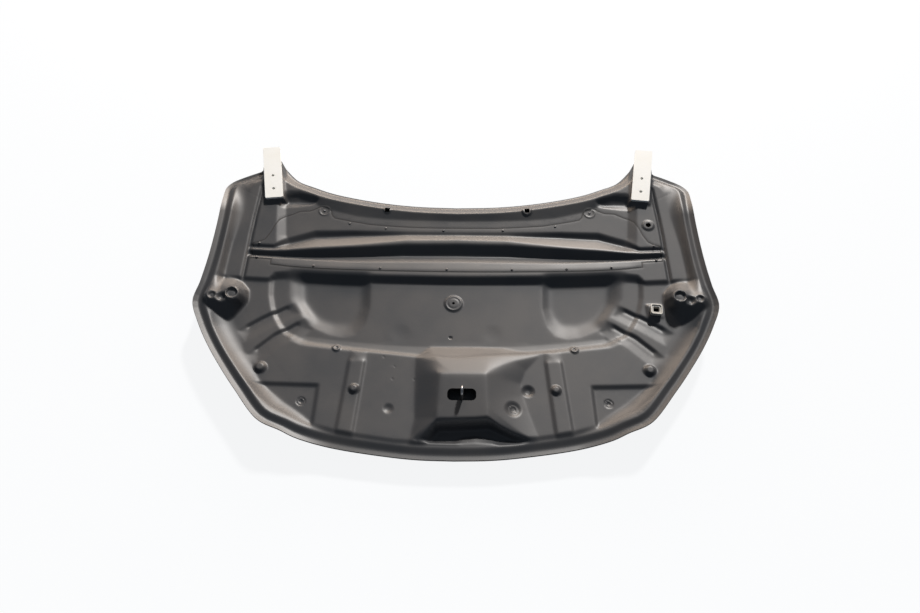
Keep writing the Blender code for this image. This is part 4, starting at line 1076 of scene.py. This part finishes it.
def make_rivets(relief_map):
    """Domed heads of the blind rivets, each square to the slope under it."""
    points, faces = [], []
    ring = circle((0, 0), 1.0, RIVET_SIDES)
    names = [f"brace_rivet_{number:02d}" for number in range(1, RIVET_COUNT + 1)]
    for name in names:
        low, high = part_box(name)
        middle = (Vector(low) + Vector(high)) / 2 - DATUM
        plan = np.array(((middle.x, middle.y),))
        normal = Vector(relief_map.normals(relief_map.panel, plan)[0])
        across = normal.orthogonal().normalized()
        along = normal.cross(across)
        start = len(points)
        for radius, rise in RIVET_PROFILE:
            for x, y in ring * radius * RIVET_RADIUS:
                points.append(middle + across * x + along * y + normal * (rise - 0.5) * RIVET_HEIGHT)
        for level in range(len(RIVET_PROFILE) - 1):
            for k in range(RIVET_SIDES):
                a = start + level * RIVET_SIDES + k
                b = start + level * RIVET_SIDES + (k + 1) % RIVET_SIDES
                faces.append((a, b, b + RIVET_SIDES, a + RIVET_SIDES))
        top = start + (len(RIVET_PROFILE) - 1) * RIVET_SIDES
        faces.append(tuple(range(top, top + RIVET_SIDES)))
        faces.append(tuple(range(start + RIVET_SIDES - 1, start - 1, -1)))
    mesh = bpy.data.meshes.new("brace_rivet_heads")
    mesh.from_pydata(points, [], faces)
    mesh.polygons.foreach_set("use_smooth", np.ones(len(mesh.polygons), dtype=bool))
    place_piece(linked("brace_rivet_heads", mesh), "dark_rivet_paint", "rivet_paint", *names)


def mottled_material(name, shades, roughness, grain, bump, metallic=0.0, stretch=(1, 1, 1)):
    """A finish whose colour and gloss drift between two values, with a fine grain in its relief."""
    material = bpy.data.materials.new(name)
    material.use_nodes = True
    nodes, links = material.node_tree.nodes, material.node_tree.links
    shader = nodes["Principled BSDF"]
    shader.inputs["Metallic"].default_value = metallic
    place = nodes.new("ShaderNodeTexCoord")
    scaled = nodes.new("ShaderNodeMapping")
    scaled.inputs["Scale"].default_value = stretch
    links.new(place.outputs["Object"], scaled.inputs["Vector"])
    noises = []
    for scale, detail in zip(grain, NOISE_DETAIL):
        noise = nodes.new("ShaderNodeTexNoise")
        noise.inputs["Scale"].default_value = scale
        noise.inputs["Detail"].default_value = detail
        links.new(scaled.outputs["Vector"], noise.inputs["Vector"])
        noises.append(noise.outputs["Fac"])
    broad, fine = noises
    drift = nodes.new("ShaderNodeMath")
    drift.operation = "MULTIPLY_ADD"
    drift.inputs[1].default_value = FINE_SHARE
    links.new(fine, drift.inputs[0])
    links.new(broad, drift.inputs[2])
    blend = nodes.new("ShaderNodeValToRGB")
    blend.color_ramp.elements[0].position = RAMP_START
    blend.color_ramp.elements[0].color = (*shades[0], 1)
    blend.color_ramp.elements[1].position = RAMP_END
    blend.color_ramp.elements[1].color = (*shades[1], 1)
    links.new(drift.outputs[0], blend.inputs["Fac"])
    links.new(blend.outputs["Color"], shader.inputs["Base Color"])
    gloss = nodes.new("ShaderNodeMapRange")
    gloss.inputs["To Min"].default_value, gloss.inputs["To Max"].default_value = roughness
    links.new(broad, gloss.inputs["Value"])
    links.new(gloss.outputs["Result"], shader.inputs["Roughness"])
    raised = nodes.new("ShaderNodeBump")
    raised.inputs["Strength"].default_value = 1.0
    raised.inputs["Distance"].default_value = bump
    links.new(fine, raised.inputs["Height"])
    links.new(raised.outputs["Normal"], shader.inputs["Normal"])
    return material


def make_stage():
    floor = bpy.data.meshes.new("floor")
    corners = [(x, y, 0) for x, y in square((0, 0), FLOOR_SIDE)]
    floor.from_pydata(corners, [], [(0, 1, 2, 3)])
    made = linked("floor", floor)
    made.location.z = -FLOOR_CLEAR
    floor.materials.append(floor_material())

    world = bpy.data.worlds.new("studio")
    bpy.context.scene.world = world
    world.use_nodes = True
    background = world.node_tree.nodes["Background"]
    background.inputs["Color"].default_value = (*SKY_COLOUR, 1)
    background.inputs["Strength"].default_value = SKY_STRENGTH

    key = bpy.data.lights.new("key", "SUN")
    key.energy = KEY_STRENGTH
    key.angle = KEY_ANGLE
    key.color = KEY_COLOUR
    aim(linked("key", key), KEY_AZIMUTH, KEY_ELEVATION, KEY_DISTANCE)

    glow = bpy.data.lights.new("rear_softbox", "AREA")
    glow.shape = "RECTANGLE"
    glow.size, glow.size_y = GLOW_SIZE
    glow.energy = GLOW_POWER
    glow.color = GLOW_COLOUR
    aim(linked("rear_softbox", glow), GLOW_AZIMUTH, GLOW_ELEVATION, GLOW_DISTANCE)


def aim(lamp, azimuth, elevation, distance):
    """Puts a lamp behind the bonnet, by its angle to the right and above, and turns it to the middle."""
    towards = Vector((math.sin(azimuth) * math.cos(elevation), math.cos(azimuth) * math.cos(elevation),
                      math.sin(elevation)))
    lamp.location = towards * distance
    lamp.rotation_euler = towards.to_track_quat("Z", "Y").to_euler()


def floor_material():
    """Pale floor that the camera sees near white, with the shadow kept."""
    material = bpy.data.materials.new("pale_floor")
    material.use_nodes = True
    nodes, links = material.node_tree.nodes, material.node_tree.links
    shader = nodes["Principled BSDF"]
    shader.inputs["Base Color"].default_value = (*FLOOR_COLOUR, 1)
    shader.inputs["Roughness"].default_value = FLOOR_ROUGHNESS
    shader.inputs["Specular IOR Level"].default_value = FLOOR_SPECULAR
    white = nodes.new("ShaderNodeEmission")
    white.inputs["Color"].default_value = (*FLOOR_SEEN_COLOUR, 1)
    path = nodes.new("ShaderNodeLightPath")
    direct, seen = nodes.new("ShaderNodeMath"), nodes.new("ShaderNodeMath")
    direct.operation = seen.operation = "MAXIMUM"
    share = nodes.new("ShaderNodeMath")
    share.operation = "MULTIPLY"
    share.inputs[1].default_value = FLOOR_SEEN_SHARE
    blend = nodes.new("ShaderNodeMixShader")
    links.new(path.outputs["Is Camera Ray"], direct.inputs[0])
    links.new(path.outputs["Is Transmission Ray"], direct.inputs[1])
    links.new(direct.outputs[0], seen.inputs[0])
    links.new(path.outputs["Is Glossy Ray"], seen.inputs[1])
    links.new(seen.outputs[0], share.inputs[0])
    links.new(share.outputs[0], blend.inputs["Fac"])
    links.new(shader.outputs[0], blend.inputs[1])
    links.new(white.outputs[0], blend.inputs[2])
    links.new(blend.outputs[0], nodes["Material Output"].inputs["Surface"])
    return material


def make_camera():
    data = bpy.data.cameras.new("camera")
    data.sensor_width = CAMERA_SENSOR
    data.lens = CAMERA_LENS
    camera = linked("camera", data)
    look = Vector((0, math.cos(CAMERA_ELEVATION), -math.sin(CAMERA_ELEVATION)))
    right = Vector((1, 0, 0))
    up = right.cross(look)
    turned_right = right * math.cos(CAMERA_ROLL) + up * math.sin(CAMERA_ROLL)
    turned_up = up * math.cos(CAMERA_ROLL) - right * math.sin(CAMERA_ROLL)
    matrix = Matrix((turned_right, turned_up, -look)).transposed().to_4x4()
    matrix.translation = Vector(CAMERA_TARGET) + DATUM - look * CAMERA_DISTANCE
    camera.matrix_world = matrix
    bpy.context.scene.camera = camera


make_camera()
RELIEF = Relief()
MATERIALS = {name: mottled_material(name, *finish) for name, finish in FINISHES.items()}
make_sheets(RELIEF)
make_hinge_plates()
make_striker()
make_socket(RELIEF)
make_rivets(RELIEF)
make_stage()
bpy.context.scene.view_settings.view_transform = "Standard"
